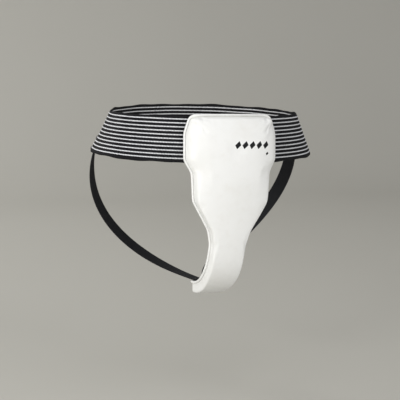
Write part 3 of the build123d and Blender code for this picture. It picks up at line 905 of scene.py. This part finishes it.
heights = np.r_[
    np.linspace(PAD_TOP_Z - MOUTH_DROP - 0.0015, CUP_BOTTOM_Z + SLEEVE_CLOSE, 44),
    CUP_BOTTOM_Z + SLEEVE_CLOSE * np.linspace(0.93, 0.0, 12) ** 2,
]
turns = np.linspace(0, 2 * math.pi, LOOP_POINTS, endpoint=False)
behind = (POCKET_FRONT + POCKET_BACK) / 2 + (POCKET_BACK - POCKET_FRONT) / 2 * squarish(np.sin(turns))
loops = []
for z in heights:
    across = pocket_half_width(z) * squarish(np.cos(turns))
    loops.append(np.stack([across, np.full(LOOP_POINTS, run_at(z)), behind], axis=-1))
loops = np.array(loops)
faces = grid_faces(*loops.shape[:2], closed=True)
faces.append(tuple(range((len(loops) - 1) * LOOP_POINTS, len(loops) * LOOP_POINTS)))
sleeve = make_piece(
    "pocket_sleeve", pad_places(loops), faces, cotton_finish, flat=loops[..., :2],
    slot="lining", replaces=("pocket_liner", "pocket_foam"),
)
wall = sleeve.modifiers.new("Cloth_thickness", "SOLIDIFY")
wall.thickness = SLEEVE_THICKNESS
wall.offset = 1.0
print("sleeve depth", round(heights[0] - heights[-1], 4))

# %% [markdown]
# The cup is the one hard piece: a moulded plate with rows of vents, held in the groove of a soft
# rubber rim. The CAD nodes already have the moulded shape, so they stay, and get the finishes that
# such mouldings have: a spark-eroded plastic and a matte rubber.

# %% The cup
for node, finish in (("cup_shell", cup_finish), ("cup_rim", rim_finish)):
    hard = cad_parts[node]
    hard.data.materials.clear()
    hard.data.materials.append(finish)
    hard.data.shade_smooth()
    crisp_corners(hard)
    print(node, "keeps its CAD shape", len(hard.data.vertices), "points")

# %% [markdown]
# The waistband is a strip of elastic in two lengths, from behind the pad's wings round to the
# closure at the back. Its section is drawn once: eleven raised stripes on the outer face, rounded
# selvedges, and shallow ribs inside. The section is then carried round the waist. Worn elastic is
# never quite even, so its edges wander by a fraction of a millimetre, and it bulges a little over
# the leg strap that is sewn inside it.

# %% The waistband
BAND_FRONT_X = 0.050
CLOSURE_X = -0.042
BAND_END_GAP = 0.0002
STRAP_TURN = math.radians(105)
SIDES = ((1, "right"), (-1, "left"))
BAND_COLUMNS = 260
STRIPE_RAISE = 0.00045
SELVEDGE = 0.0012
SELVEDGE_ROUNDING = 0.0007
INNER_RIB_HEIGHT = 0.00012
INNER_RIB_PITCH = 0.0027
EDGE_WANDER = 0.0005
STRAP_BULGE = 0.0016
STRAP_BULGE_REACH = 0.013
WAIST_MEAN_RADIUS = 0.125


def band_section():
    """Heights and depths round the band's section, from the top of the outer face down and back up."""
    outer = np.linspace(BAND_WIDTH / 2, -BAND_WIDTH / 2, 133)
    down = (TOP_STRIPE - outer) / STRIPE_PITCH + 0.5
    from_middle = np.abs(down % 1 - 0.5) * STRIPE_PITCH
    striped = (down > 0) & (down < STRIPES)
    raised = STRIPE_RAISE * (1 - smooth(from_middle, 0.0005, STRIPE_WIDTH / 2 + 0.0003)) * striped
    edge = np.minimum(BAND_WIDTH / 2 - outer, outer + BAND_WIDTH / 2)
    rounding = SELVEDGE_ROUNDING * (1 - smooth(edge, 0.0, SELVEDGE))
    inner = outer[::-4]
    ribs = INNER_RIB_HEIGHT * np.cos(inner / INNER_RIB_PITCH * 2 * math.pi)
    heights = np.r_[outer, inner]
    depths = np.r_[raised - rounding - 0.0003, -BAND_THICKNESS + 0.00015 + ribs]
    return heights, depths


def waist_ribbon(name, turns, heights, depths, finish, **facts):
    """A closed section carried along the waistband's surface; heights and depths may vary along it."""
    turns = np.asarray(turns)[:, None]
    points = waist_point(turns, heights, depths)
    rows, columns = points.shape[:2]
    gone = travelled(waist_point(turns[:, 0], 0.0, 0.0))
    return make_piece(
        name, points, grid_faces(rows, columns, closed=True, capped=True), finish,
        flat=flat_grid(gone[:, None], heights), **facts
    )


def band_half(name, first, last, node):
    """One length of the waistband between two turns."""
    turns = np.linspace(first, last, BAND_COLUMNS)[:, None]
    heights, depths = band_section()
    wander = EDGE_WANDER * (np.sin(turns * 9.0 + 1.3) + 0.6 * np.sin(turns * 23.0))
    ripple = EDGE_WANDER * np.sin(turns * 14.0 + 0.5) * (heights / (BAND_WIDTH / 2)) ** 2
    from_strap = (np.abs(turns) - STRAP_TURN) * WAIST_MEAN_RADIUS
    bulge = STRAP_BULGE * np.exp(-((from_strap / STRAP_BULGE_REACH) ** 2)) * smooth(-heights, 0.0, 0.026)
    band = waist_ribbon(
        name, turns[:, 0], heights * (1 + 0.004 * np.sin(turns * 5)) + wander, depths + ripple + bulge,
        band_finish, slot="striped_elastic", replaces=(node,),
    )
    length = round(float(travelled(waist_point(turns[:, 0], 0.0, 0.0))[-1]), 4)
    print(name, "length", length)


front_turn = math.asin(BAND_FRONT_X / WAIST_HALF_WIDTH)
band_half("band_right", front_turn, rear_turn(CLOSURE_X + BAND_END_GAP), "waistband_right")
band_half("band_left", -front_turn, -rear_turn(-CLOSURE_X), "waistband_left")

# %% [markdown]
# Webbing, tapes and labels are thin ribbons with a rounded edge. One helper draws the section of
# such a ribbon, wide and thin with softly rounded selvedges, so each of them can be carried along
# the waistband or along a free route.

# %% Ribbon section
RIB_PITCH = 0.0022


def ribbon_section(width, inner, outer, points=25, ribs=0.0):
    """Heights and depths round a ribbon's section between two depths, with optional lengthwise ribs."""
    face = np.linspace(width / 2, -width / 2, points)
    edge = np.minimum(width / 2 - face, face + width / 2)
    ease = (outer - inner) * 0.35 * (1 - smooth(edge, 0.0, SELVEDGE))
    waves = ribs * np.cos(face / RIB_PITCH * 2 * math.pi)
    return np.r_[face, face[::-1]], np.r_[outer - ease + waves, inner + ease[::-1] - waves[::-1]]


TAPE_LENGTH = 0.013
END_TAPE_FACE = -0.0030
END_TAPE_THICKNESS = 0.0008
turn_end = math.asin((BAND_FRONT_X + TAPE_LENGTH) / WAIST_HALF_WIDTH)
heights, depths = ribbon_section(BAND_WIDTH - 0.001, END_TAPE_FACE, END_TAPE_FACE + END_TAPE_THICKNESS)
for side, word in SIDES:
    waist_ribbon(
        f"end_tape_{word}", np.linspace(front_turn, turn_end, 16) * side, heights, depths, tape_finish,
        slot="black_webbing", replaces=(f"anchor_tape_{word}",),
    )
print("end tapes", TAPE_LENGTH)

# %% [markdown]
# The closure at the back is hook-and-loop. A brushed loop tape is sewn on the right end of the
# band, and a webbing tab from the left end lies over it with its hooks facing in. The webbing is
# one continuous strip that is sewn down at its base and rises where the tab lies over the loop
# tape, so it is one mesh instead of two stiff pieces.

# %% The hook-and-loop closure
CLOSURE_WIDTH = 0.050
TAB_BASE_X = -0.0728
TAB_END_X = 0.0290
TAPE_ROOT_X = -0.036
LOOP_LENGTH = 0.080
HOOK_LENGTH = 0.062
BASE_FACE = 0.0016
TAB_RISE = 0.0029
BEND_START_X = CLOSURE_X - 0.004
PILE_HEIGHT = 0.00011


def rear_turns(first_x, last_x, step=0.0012):
    """Evenly spaced turns across the back between two places, going round by the left."""
    places = np.linspace(first_x, last_x, max(4, round(abs(last_x - first_x) / step)))
    return np.array([rear_turn(x) for x in places])


turns = rear_turns(TAB_BASE_X, TAB_END_X)
x = np.linspace(TAB_BASE_X, TAB_END_X, len(turns))
rise = (TAB_RISE * smooth(x, BEND_START_X, CLOSURE_X + 0.008))[:, None]
heights, depths = ribbon_section(CLOSURE_WIDTH, 0.0003, BASE_FACE, points=41)
sway = 0.00012 * np.sin(x * 210)[:, None]
closure_tab = waist_ribbon(
    "closure_webbing", turns, heights, depths + rise + sway, tape_finish, body=None,
    slot="black_webbing", replaces=("closure_tab", "closure_tab_base"),
)
crisp_corners(closure_tab)
tuple(waist_point(rear_turn(BEND_START_X), 0.0, 0.002))
tuple(waist_point(rear_turn(CLOSURE_X + 0.007), 0.0, 0.002))
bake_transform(closure_tab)

heights, depths = ribbon_section(CLOSURE_WIDTH, 0.0002, 0.0010, points=61)
loop_turns = rear_turns(TAPE_ROOT_X, TAPE_ROOT_X + LOOP_LENGTH, 0.0009)
pile = np.random.default_rng(7).normal(0, PILE_HEIGHT, (len(loop_turns), len(heights))) * (depths > 0.0006)
waist_ribbon(
    "loop_patch", loop_turns, heights, depths + pile + 0.00008, loop_finish, slot="loop_pile",
    replaces=("loop_tape",),
)
print("closure", round(TAB_END_X - TAB_BASE_X, 4), "long")

# %% [markdown]
# Hook tape is a thin moulded base with rows of tiny stems that end in hooks. At this size a short
# tapered stem with a bent tip is enough for each; there are over a thousand, so one stem's points
# are worked out once and copied to every place on the tape.

# %% The hooks
HOOK_PITCH = 0.0017
HOOK_BASE_OUTER = 0.0028
HOOK_BASE_INNER = 0.0022
HOOK_WIDTH = 0.046

heights, depths = ribbon_section(HOOK_WIDTH, HOOK_BASE_INNER, HOOK_BASE_OUTER, points=21)
waist_ribbon(
    "hook_patch", rear_turns(TAPE_ROOT_X, TAPE_ROOT_X + HOOK_LENGTH, 0.002), heights, depths, hook_finish,
    body="tab", slot="hook_plastic", replaces=("hook_tape",),
)
stem_places, stem_faces = [], []
stem_levels = [
    (0.0, 0.00026, 0.0), (0.00028, 0.0002, 0.0), (0.00048, 0.00017, 0.00016), (0.00052, 0.00007, 0.00036)
]
corners = [(1, 1), (-1, 1), (-1, -1), (1, -1)]
one_stem = grid_faces(4, 4, closed=True, capped=True)
for x in np.arange(TAPE_ROOT_X + 0.002, TAPE_ROOT_X + HOOK_LENGTH - 0.0015, HOOK_PITCH):
    turn = rear_turn(x)
    for height in np.arange(-HOOK_WIDTH / 2 + 0.002, HOOK_WIDTH / 2 - 0.0015, HOOK_PITCH):
        first = len(stem_places)
        for drop, half, bend in stem_levels:
            for du, dv in corners:
                stem_places.append((turn + (du * half + bend) / WAIST_HALF_WIDTH, height + dv * half,
                                    HOOK_BASE_INNER + 0.00005 - drop))
        stem_faces += shifted(one_stem, first)
stem_places = np.array(stem_places)
make_piece(
    "hooks", waist_point(*stem_places.T), stem_faces, hook_finish, flat=stem_places[:, :2], body="tab",
    slot="hook_plastic",
)
print("hooks", len(stem_faces) // len(one_stem))

# %% [markdown]
# The tab's end is bound so that it doesn't fray: a piece of tape is folded over it, which makes a
# thicker, rounded end that fingers can find. A section with a full round at the far end gives that.

# %% The bound end of the tab
BINDING_START_X = 0.0272
BINDING_END_X = 0.0346
BINDING_BACK = 0.00285
BINDING_FACE = 0.00465
BINDING_ROUND = 0.0012
turns = rear_turns(BINDING_START_X, BINDING_END_X, 0.0004)
x = np.linspace(BINDING_START_X, BINDING_END_X, len(turns))
heights, depths = ribbon_section(CLOSURE_WIDTH, BINDING_BACK, BINDING_FACE, points=41)
centre = (depths.max() + depths.min()) / 2
into_round = ((x - BINDING_END_X + BINDING_ROUND) / BINDING_ROUND).clip(0, 1)
close = np.sqrt(np.clip(1 - into_round**2, 0.04, 1))[:, None]
waist_ribbon(
    "tab_binding", turns, heights, centre + (depths - centre) * close, tape_finish, body="tab",
    slot="black_webbing", replaces=("tab_end_binding",),
)
print("binding", round(BINDING_END_X - BINDING_START_X, 4))

# %% [markdown]
# The leg straps leave the end of the tail, pass under the seat and behind the thigh, and come up
# inside the waistband. Each is one smooth curve between its two sewn ends, with the strap's face
# turning slowly from downward to outward. A Bezier curve says that with four points, and another
# with three directions gives the facing.

# %% The leg straps
STRAP_WIDTH = 0.019
STRAP_THICKNESS = 0.0018
STRAP_GAP = 0.0003
STRAP_DEPTH = PAD_THICKNESS + STRAP_GAP + STRAP_THICKNESS / 2
STRAP_X = STRAP_WIDTH / 2 + 0.0004
STRAP_INNER = -BAND_THICKNESS - 0.0014 - STRAP_THICKNESS / 2
STRAP_SEWN_ANGLE = math.radians(14)
STRAP_OVERLAP = 0.025
STRAP_LEAVING = np.array([0.024, 0.120, 0.0])
STRAP_ARRIVING = np.array([0.010, 0.028, -0.108])
STRAP_MIDDLE_FACING = np.array([0.5, 1.6, -1.0])


def blended(points, share):
    """Point of a Bezier curve with any number of control points."""
    while len(points) > 1:
        points = [first + (second - first) * share for first, second in zip(points, points[1:])]
    return points[0]


def tail_frame(angle):
    """Place and facing of the strap on the tail's back at an angle round the tail arc."""
    radial = np.array([0, -math.cos(angle), -math.sin(angle)])
    tilt = math.asin(STRAP_X / (CROSS_RADIUS - STRAP_DEPTH))
    place = pad_point(STRAP_X, TAIL_RADIUS * (angle - JOIN_ANGLE), STRAP_DEPTH)
    return place, radial * math.cos(tilt) + np.array([1, 0, 0]) * math.sin(tilt)


def strap_route():
    """Places along the right strap and the way it faces at each."""
    places, facings = [], []
    for angle in np.linspace(TAIL_END_ANGLE - STRAP_SEWN_ANGLE, TAIL_END_ANGLE, 8)[:-1]:
        place, facing = tail_frame(angle)
        places.append(place)
        facings.append(facing)
    start, start_facing = tail_frame(TAIL_END_ANGLE)
    end = waist_point(STRAP_TURN, -BAND_WIDTH / 2, STRAP_INNER)
    end_facing = waist_axes(STRAP_TURN)[2]
    controls = [start, start + STRAP_LEAVING, end + STRAP_ARRIVING, end]
    for share in np.linspace(0, 1, 90):
        places.append(blended(controls, share))
        facings.append(blended([start_facing, STRAP_MIDDLE_FACING, end_facing], share))
    for height in np.linspace(0, STRAP_OVERLAP, 10)[1:]:
        places.append(waist_point(STRAP_TURN, -BAND_WIDTH / 2 + height, STRAP_INNER))
        facings.append(end_facing)
    return np.array(places), np.array(facings)


places, facings = strap_route()
along = unit(np.gradient(places, axis=0))
across = unit(np.cross(facings, along))
facings = np.cross(along, across)
gone = travelled(places)
heights, depths = ribbon_section(
    STRAP_WIDTH, -STRAP_THICKNESS / 2 + 0.0001, STRAP_THICKNESS / 2 - 0.0001, points=51, ribs=0.0001
)
slack = 1 - 0.02 * np.sin(gone / gone[-1] * math.pi)[:, None]
strap_points = places[:, None] + across[:, None] * (heights * slack)[..., None]
strap_points = strap_points + facings[:, None] * depths[None, :, None]
flat = flat_grid(gone[:, None], heights)
faces = grid_faces(*strap_points.shape[:2], closed=True, capped=True)
for side, word in SIDES:
    strap = make_piece(
        f"leg_strap_fabric_{word}", strap_points * [side, 1, 1], faces, elastic_finish, flat=flat,
        slot="black_elastic", replaces=(f"leg_strap_{word}",),
    )
print("leg strap length", round(float(gone[-1]), 4))

# %% [markdown]
# On the tail, both strap ends are covered by a patch of tape, so that nothing rubs. It is wrapped
# on the tail's own arc, just behind the straps.

# %% The tail patch
PATCH_LENGTH = 0.020
PATCH_THICKNESS = 0.0008
PATCH_DEPTH = PAD_THICKNESS + STRAP_GAP + STRAP_THICKNESS + 0.0002
runs = np.linspace(TAIL_RUN - PATCH_LENGTH, TAIL_RUN, 24)[:, None]
PATCH_OUTER = PATCH_DEPTH + PATCH_THICKNESS
heights, depths = ribbon_section(2 * TAIL_END_HALF_WIDTH - 0.001, PATCH_OUTER, PATCH_DEPTH, points=41)
flat = flat_grid(runs, heights)
make_piece(
    "tail_tape", pad_point(heights, runs, depths), grid_faces(*flat.shape[:2], closed=True, capped=True),
    tape_finish, flat=flat, slot="black_webbing", replaces=("tail_patch",),
)
print("tail tape", PATCH_LENGTH)

# %% [markdown]
# Stitches hold all of this together, and they are what makes sewn work look sewn. Each stitch is a
# short thread that rises out of the cloth, lies on it and dives back in. One helper lays stitches
# along any row of places, given the way the cloth faces there, and joins a whole row into one
# mesh.

# %% Stitches
STITCH_PITCH = 0.0030
STITCH_LENGTH = 0.0023
THREAD_RADIUS = 0.00024
THREAD_DIVE = 2.4


def stitched(name, rows, finish, body="guard", slot="thread"):
    """Rows of stitches; each row is places along the seam and the way the cloth faces at each."""
    points, faces = [], []
    ring = np.linspace(0, 2 * math.pi, 6, endpoint=False)
    reach = np.linspace(-1, 1, 7)
    one_stitch = grid_faces(len(reach), len(ring), closed=True, capped=True)
    for places, facings in rows:
        gone = travelled(places)
        count = max(1, int(gone[-1] / STITCH_PITCH))
        for middle in (np.arange(count) + 0.5) * gone[-1] / count:
            at = middle + reach * STITCH_LENGTH / 2
            line = np.stack([np.interp(at, gone, places[:, axis]) for axis in range(3)], axis=-1)
            up = unit(np.array([np.interp(middle, gone, facings[:, axis]) for axis in range(3)]))
            line += up * (THREAD_RADIUS * (1.0 - THREAD_DIVE * reach**4))[:, None]
            side = np.cross(unit(line[-1] - line[0]), up)
            first = len(points)
            for place in line:
                points.extend(place + THREAD_RADIUS * (np.cos(a) * side + np.sin(a) * up) for a in ring)
            faces += shifted(one_stitch, first)
    make_piece(name, np.array(points), faces, finish, body=body, slot=slot)


def waist_row(first_turn, last_turn, first_height, last_height, depth):
    """A straight seam on the waistband's surface, on its outer side for a positive depth."""
    turns = np.linspace(first_turn, last_turn, 60)
    heights = np.linspace(first_height, last_height, 60)
    facing = waist_axes(turns)[2]
    return waist_point(turns, heights, depth), facing if depth > -0.001 else -facing


def box_of_rows(x_first, x_last, half_height, depth):
    """Seams round a rectangle across the back and along both its diagonals."""
    a, b = rear_turn(x_first), rear_turn(x_last)
    sides = [(a, b, half_height, half_height), (a, b, -half_height, -half_height),
             (a, a, -half_height, half_height), (b, b, -half_height, half_height),
             (a, b, -half_height, half_height), (a, b, half_height, -half_height)]
    return [waist_row(*side, depth) for side in sides]


BASE_SEAMS = (-0.0705, -0.0485, 0.0225)
LOOP_FACE = 0.0011
TAB_FACE = 0.0045
SEAM_HEIGHT = 0.0235
TAB_SEAM_HEIGHT = 0.0232
END_TAPE_SEAM_HEIGHT = 0.031
END_TAPE_SEAM_TURN = 0.012
SEAM_MARGIN = 0.0015

stitched("closure_stitches", box_of_rows(*BASE_SEAMS, BASE_FACE), black_thread)
a, b = rear_turn(TAPE_ROOT_X + SEAM_MARGIN), rear_turn(TAPE_ROOT_X + LOOP_LENGTH - SEAM_MARGIN)
loop_rows = [waist_row(a, b, height, height, LOOP_FACE) for height in (SEAM_HEIGHT, -SEAM_HEIGHT)]
loop_rows.append(waist_row(b, b, -SEAM_HEIGHT, SEAM_HEIGHT, LOOP_FACE))
stitched("loop_patch_stitches", loop_rows, black_thread)
a, b = rear_turn(TAPE_ROOT_X + 0.001), rear_turn(TAB_END_X - 0.003)
tab_rows = [waist_row(a, b, height, height, TAB_FACE) for height in (TAB_SEAM_HEIGHT, -TAB_SEAM_HEIGHT)]
stitched("tab_stitches", tab_rows, black_thread, body="tab")
a = rear_turn(BINDING_START_X + 0.0018)
stitched(
    "binding_stitches", [waist_row(a, a, -SEAM_HEIGHT, SEAM_HEIGHT, BINDING_FACE)], black_thread, body="tab"
)
tape_rows = [
    waist_row(turn * side, turn * side, -END_TAPE_SEAM_HEIGHT, END_TAPE_SEAM_HEIGHT, END_TAPE_FACE)
    for side in (1, -1)
    for turn in (front_turn + END_TAPE_SEAM_TURN, turn_end - END_TAPE_SEAM_TURN)
]
stitched("end_tape_stitches", tape_rows, black_thread)
print("closure stitched")

# %% [markdown]
# The pad's layers are joined by one seam just inside the piping, which shows on the body side as a
# row of white stitches, and the tail's tape has a seam round its edge. The seam's places come from
# the finished meshes, by dropping each point onto the surface, so the stitches lie on the cloth
# wherever the padding has pushed it.

# %% Seams on the pad
SEAM_INSET = 0.0034
PATCH_SEAM_INSET = 0.0022


def surface_of(piece):
    """A search tree of the piece's finished surface."""
    return BVHTree.FromObject(piece, bpy.context.evaluated_depsgraph_get())


def drop(tree, places, facings, height=0.03):
    """Each place moved onto the surface below it, looking against the way that the cloth faces."""
    landed = []
    for place, facing in zip(places, facings):
        hit = tree.ray_cast(Vector(place + facing * height), Vector(-facing))[0]
        landed.append(place if hit is None else np.array(hit))
    return np.array(landed)


def pad_facing(x, run):
    """The way the pad's back faces at places on the pattern."""
    return unit(pad_point(x, run, 0.002) - pad_point(x, run, 0.001))


outline = whole_outline(-SEAM_INSET)
outline = np.concatenate([outline, outline[:1]])
seam_facing = pad_facing(*outline.T)
seam = drop(surface_of(back_panel), pad_point(*outline.T, PAD_THICKNESS), seam_facing)
stitched("back_seam", [(seam, seam_facing)], white_thread, slot="lining_white")

patch_edge = np.array([
    (-1, SEAM_MARGIN), (1, SEAM_MARGIN), (1, PATCH_LENGTH - SEAM_MARGIN), (-1, PATCH_LENGTH - SEAM_MARGIN),
    (-1, SEAM_MARGIN),
]) * [TAIL_END_HALF_WIDTH - PATCH_SEAM_INSET, 1] + [0, TAIL_RUN - PATCH_LENGTH]
patch_edge = evenly(patch_edge, 0.0008)
patch_seam = (pad_point(*patch_edge.T, PATCH_OUTER), pad_facing(*patch_edge.T))
stitched("tail_tape_stitches", [patch_seam], black_thread)
print("back seam", round(float(travelled(seam)[-1]), 3))

# %% [markdown]
# Bar tacks are the short dense zigzags that hold a strap end. Each is a single thread that goes
# back and forth across the tack, so it is drawn as one path on the band's face and given a tube.

# %% Bar tacks
TACK_LENGTH = 0.020
TACK_HEIGHT = 0.0026
TACK_TURNS = 22
TACK_HEIGHTS = (-BAND_WIDTH / 2 + 0.004, -BAND_WIDTH / 2 + STRAP_OVERLAP - 0.004)

for side, word in SIDES:
    tack_points, tack_faces = [], []
    for height in TACK_HEIGHTS:
        share = np.linspace(0, 1, TACK_TURNS * 2 + 1)
        turns = side * (STRAP_TURN + (share - 0.5) * TACK_LENGTH / WAIST_MEAN_RADIUS)
        zigzag = height + TACK_HEIGHT / 2 * np.where(np.arange(len(share)) % 2, 1, -1)
        path = evenly(waist_point(turns, zigzag, 0.0017 * smooth(-zigzag, 0.0, 0.026) + 0.0006), 0.0005)
        rows = tube(path, THREAD_RADIUS, around=6)
        tack_faces += shifted(grid_faces(len(rows), 6, closed=True, capped=True), len(tack_points))
        tack_points.extend(rows.reshape(-1, 3))
    make_piece(
        f"bar_tacks_{word}", np.array(tack_points), tack_faces, black_thread, slot="thread",
        replaces=(f"strap_tacks_{word}",),
    )
print("bar tacks", TACK_TURNS, "turns each")

# %% [markdown]
# A care label hangs inside the back of the waistband, sewn along its top edge only, so its lower
# edge stands away from the band a little and curls. It is a thin satin ribbon and is left blank.

# %% The care label
LABEL_TURN = math.radians(-150)
LABEL_LENGTH = 0.022
LABEL_HEIGHT = 0.034
LABEL_THICKNESS = 0.0003
LABEL_SEWN_DEPTH = 0.0025
LABEL_HANG = 0.0022
LABEL_WAVE = 0.0005
LABEL_SEAM_DEPTH = -0.0031
half = LABEL_LENGTH / WAIST_HALF_WIDTH / 2
label_turns = np.linspace(LABEL_TURN - half, LABEL_TURN + half, 24)
face = np.linspace(LABEL_HEIGHT / 2, -LABEL_HEIGHT / 2, 30)
hang = -LABEL_HANG * smooth(-face, -0.012, LABEL_HEIGHT / 2)
hang = hang - LABEL_WAVE * np.sin((face + LABEL_HEIGHT / 2) * 160) ** 2
heights = np.r_[face, face[::-1]]
depths = np.r_[hang, (hang - LABEL_THICKNESS)[::-1]]
wave = np.cos((label_turns - LABEL_TURN) / half * math.pi)[:, None]
curl = 1 + 0.25 * wave * smooth(-heights, -0.005, LABEL_HEIGHT / 2)
label = waist_ribbon(
    "blank_label", label_turns, heights, depths * curl - LABEL_SEWN_DEPTH, label_finish,
    slot="label_satin", replaces=("care_label",),
)
top = LABEL_HEIGHT / 2 - 0.002
label_seam = waist_row(LABEL_TURN - half, LABEL_TURN + half, top, top, LABEL_SEAM_DEPTH)
stitched("label_stitches", [label_seam], white_thread, slot="label_satin")
print("label", LABEL_LENGTH, LABEL_HEIGHT)

# %% [markdown]
# A small mark is printed on the upper right of the pad: a plain row of slanted diamonds. Ink has
# almost no thickness, so each diamond is a fine grid laid on the finished cover, raised by a hair,
# with an edge that goes back into the skin.

# %% The printed diamonds
MARK_RUN = run_at(PAD_TOP_Z) + 0.0420
MARK_X = (0.0010, 0.0120, 0.0230, 0.0340, 0.0450)
DIAMOND_WIDTH = 0.0102
DIAMOND_HEIGHT = 0.0126
DIAMOND_SLANT = 0.30
SMALL_DIAMOND = (0.0475, MARK_RUN + 0.0120, 0.0052, 0.0056)
INK_THICKNESS = 0.00012
cover_surface = surface_of(cover)


def diamond(x, run, width, height, cells=10):
    """A slanted diamond of ink on the cover: points of a grid, its raised middle and sunk edge."""
    share = np.linspace(-1, 1, cells + 1)
    u, v = np.meshgrid(share, share, indexing="ij")
    across, down = (u + v) / 4 * width, (u - v) / 4 * height
    places = np.stack([x + across - down * DIAMOND_SLANT, run + down], axis=-1).reshape(-1, 2)
    at = pad_point(places[:, 0], places[:, 1], 0.0)
    facing = unit(at - pad_point(places[:, 0], places[:, 1], 0.001))
    landed = drop(cover_surface, at, facing)
    rim = np.maximum(np.abs(u), np.abs(v)).ravel() > 0.999
    return landed + facing * np.where(rim, -INK_THICKNESS, INK_THICKNESS)[:, None], places


mark_points, mark_faces, mark_flat = [], [], []
shapes = [(x, MARK_RUN, DIAMOND_WIDTH, DIAMOND_HEIGHT) for x in MARK_X]
for shape in shapes + [SMALL_DIAMOND]:
    points, flat = diamond(*shape)
    side = int(len(points) ** 0.5)
    mark_faces += shifted(grid_faces(side, side), len(mark_points))
    mark_points.extend(points)
    mark_flat.extend(flat)
make_piece("print_mark", np.array(mark_points), mark_faces, ink_finish, flat=np.array(mark_flat),
           slot="white_skin")
print("diamonds", len(shapes) + 1)

# %% [markdown]
# The object is shown as it is worn, so nothing holds it up. A plain pale floor and a wall behind it
# that run into each other by a wide curve make a quiet background without a horizon line.

# %% The floor and backdrop
FLOOR_Z = cad_low.z - 0.12
FLOOR_REACH = 20.0
SWEEP_RADIUS = 0.9
SWEEP_BACK_Y = 2.4
floor_finish = Finish("backdrop", Specular_IOR_Level=0.2)
soft = floor_finish.noise(1.1, 2.0)
floor_finish.wear(floor_finish.mix(soft, (197, 195, 187), (189, 187, 179)), soft * 0.1 + 0.85)
profile = [(-FLOOR_REACH, FLOOR_Z)]
profile += [
    (SWEEP_BACK_Y - SWEEP_RADIUS + SWEEP_RADIUS * math.sin(a), FLOOR_Z + SWEEP_RADIUS * (1 - math.cos(a)))
    for a in np.linspace(0, math.pi / 2, 24)
]
profile.append((SWEEP_BACK_Y, FLOOR_Z + 5.0))
points = np.array([[(x, y, z) for x in (-FLOOR_REACH, FLOOR_REACH)] for y, z in profile])
backdrop = make_piece("backdrop", points, grid_faces(len(profile), 2), floor_finish.material, body=None)
print("floor at", round(FLOOR_Z, 3))

# %% [markdown]
# Something white wants large soft lights, or its shape burns out. One big light on the left and
# a little in front models the shoulders and the fold, a weaker one fills from the right, two more
# from above and behind pick out the top edge and the inside of the band, and a pale world keeps
# the shadows open.

# %% The light
def soft_light(name, place, size, power, colour):
    """A square area light that looks at the object."""
    lamp = bpy.data.lights.new(name, "AREA")
    lamp.shape = "SQUARE"
    lamp.size = size
    lamp.energy = power
    lamp.color = colour
    light = bpy.data.objects.new(name, lamp)
    light.location = place
    light.rotation_mode = "QUATERNION"
    light.rotation_quaternion = (Vector((0, 0, -0.09)) - light.location).to_track_quat("-Z", "Y")
    bpy.context.collection.objects.link(light)


soft_light("key", (-2.0, -1.2, 0.4), 0.9, 36.0, (1.0, 1.0, 0.99))
soft_light("fill", (1.2, -2.3, 0.6), 1.0, 18.0, (0.98, 0.99, 1.0))
soft_light("overhead", (0.1, 0.3, 1.9), 1.5, 3.0, (1.0, 1.0, 1.0))
soft_light("behind", (-0.9, 1.7, 1.1), 1.0, 12.0, (1.0, 1.0, 1.0))
world = bpy.data.worlds.new("studio")
world.use_nodes = True
world.node_tree.nodes["Background"].inputs["Color"].default_value = linear(228, 228, 230)
world.node_tree.nodes["Background"].inputs["Strength"].default_value = 0.55
bpy.context.scene.world = world
bpy.context.scene.view_settings.view_transform = "Standard"
print("lights", len(bpy.data.lights))

# %% [markdown]
# The camera stands a couple of metres away with a long lens, so the pad isn't distorted, a little
# to the object's right and slightly above it. It looks just below the waist's middle, and is
# rolled by two and a half degrees.

# %% The camera
CAMERA_AZIMUTH = math.radians(-24)
CAMERA_ELEVATION = math.radians(6.3)
CAMERA_DISTANCE = 2.2
CAMERA_ROLL = math.radians(-2.6)
LENS = 136.6
AIM_BELOW = math.radians(2.566)
AIM_ASIDE = math.radians(-0.08)

camera_data = bpy.data.cameras.new("camera")
camera_data.lens = LENS
camera = bpy.data.objects.new("camera", camera_data)
bpy.context.collection.objects.link(camera)
toward = Vector((
    math.sin(CAMERA_AZIMUTH) * math.cos(CAMERA_ELEVATION),
    -math.cos(CAMERA_AZIMUTH) * math.cos(CAMERA_ELEVATION),
    math.sin(CAMERA_ELEVATION),
))
right = Vector((math.cos(CAMERA_AZIMUTH), math.sin(CAMERA_AZIMUTH), 0))
camera.location = toward * CAMERA_DISTANCE
up = toward.cross(right)
looking = (-toward - up * math.tan(AIM_BELOW) + right * math.tan(AIM_ASIDE)).normalized()
camera.rotation_mode = "QUATERNION"
camera.rotation_quaternion = Quaternion(looking, CAMERA_ROLL) @ looking.to_track_quat("-Z", "Y")
bpy.context.scene.camera = camera
print("camera", [round(value, 3) for value in camera.location])
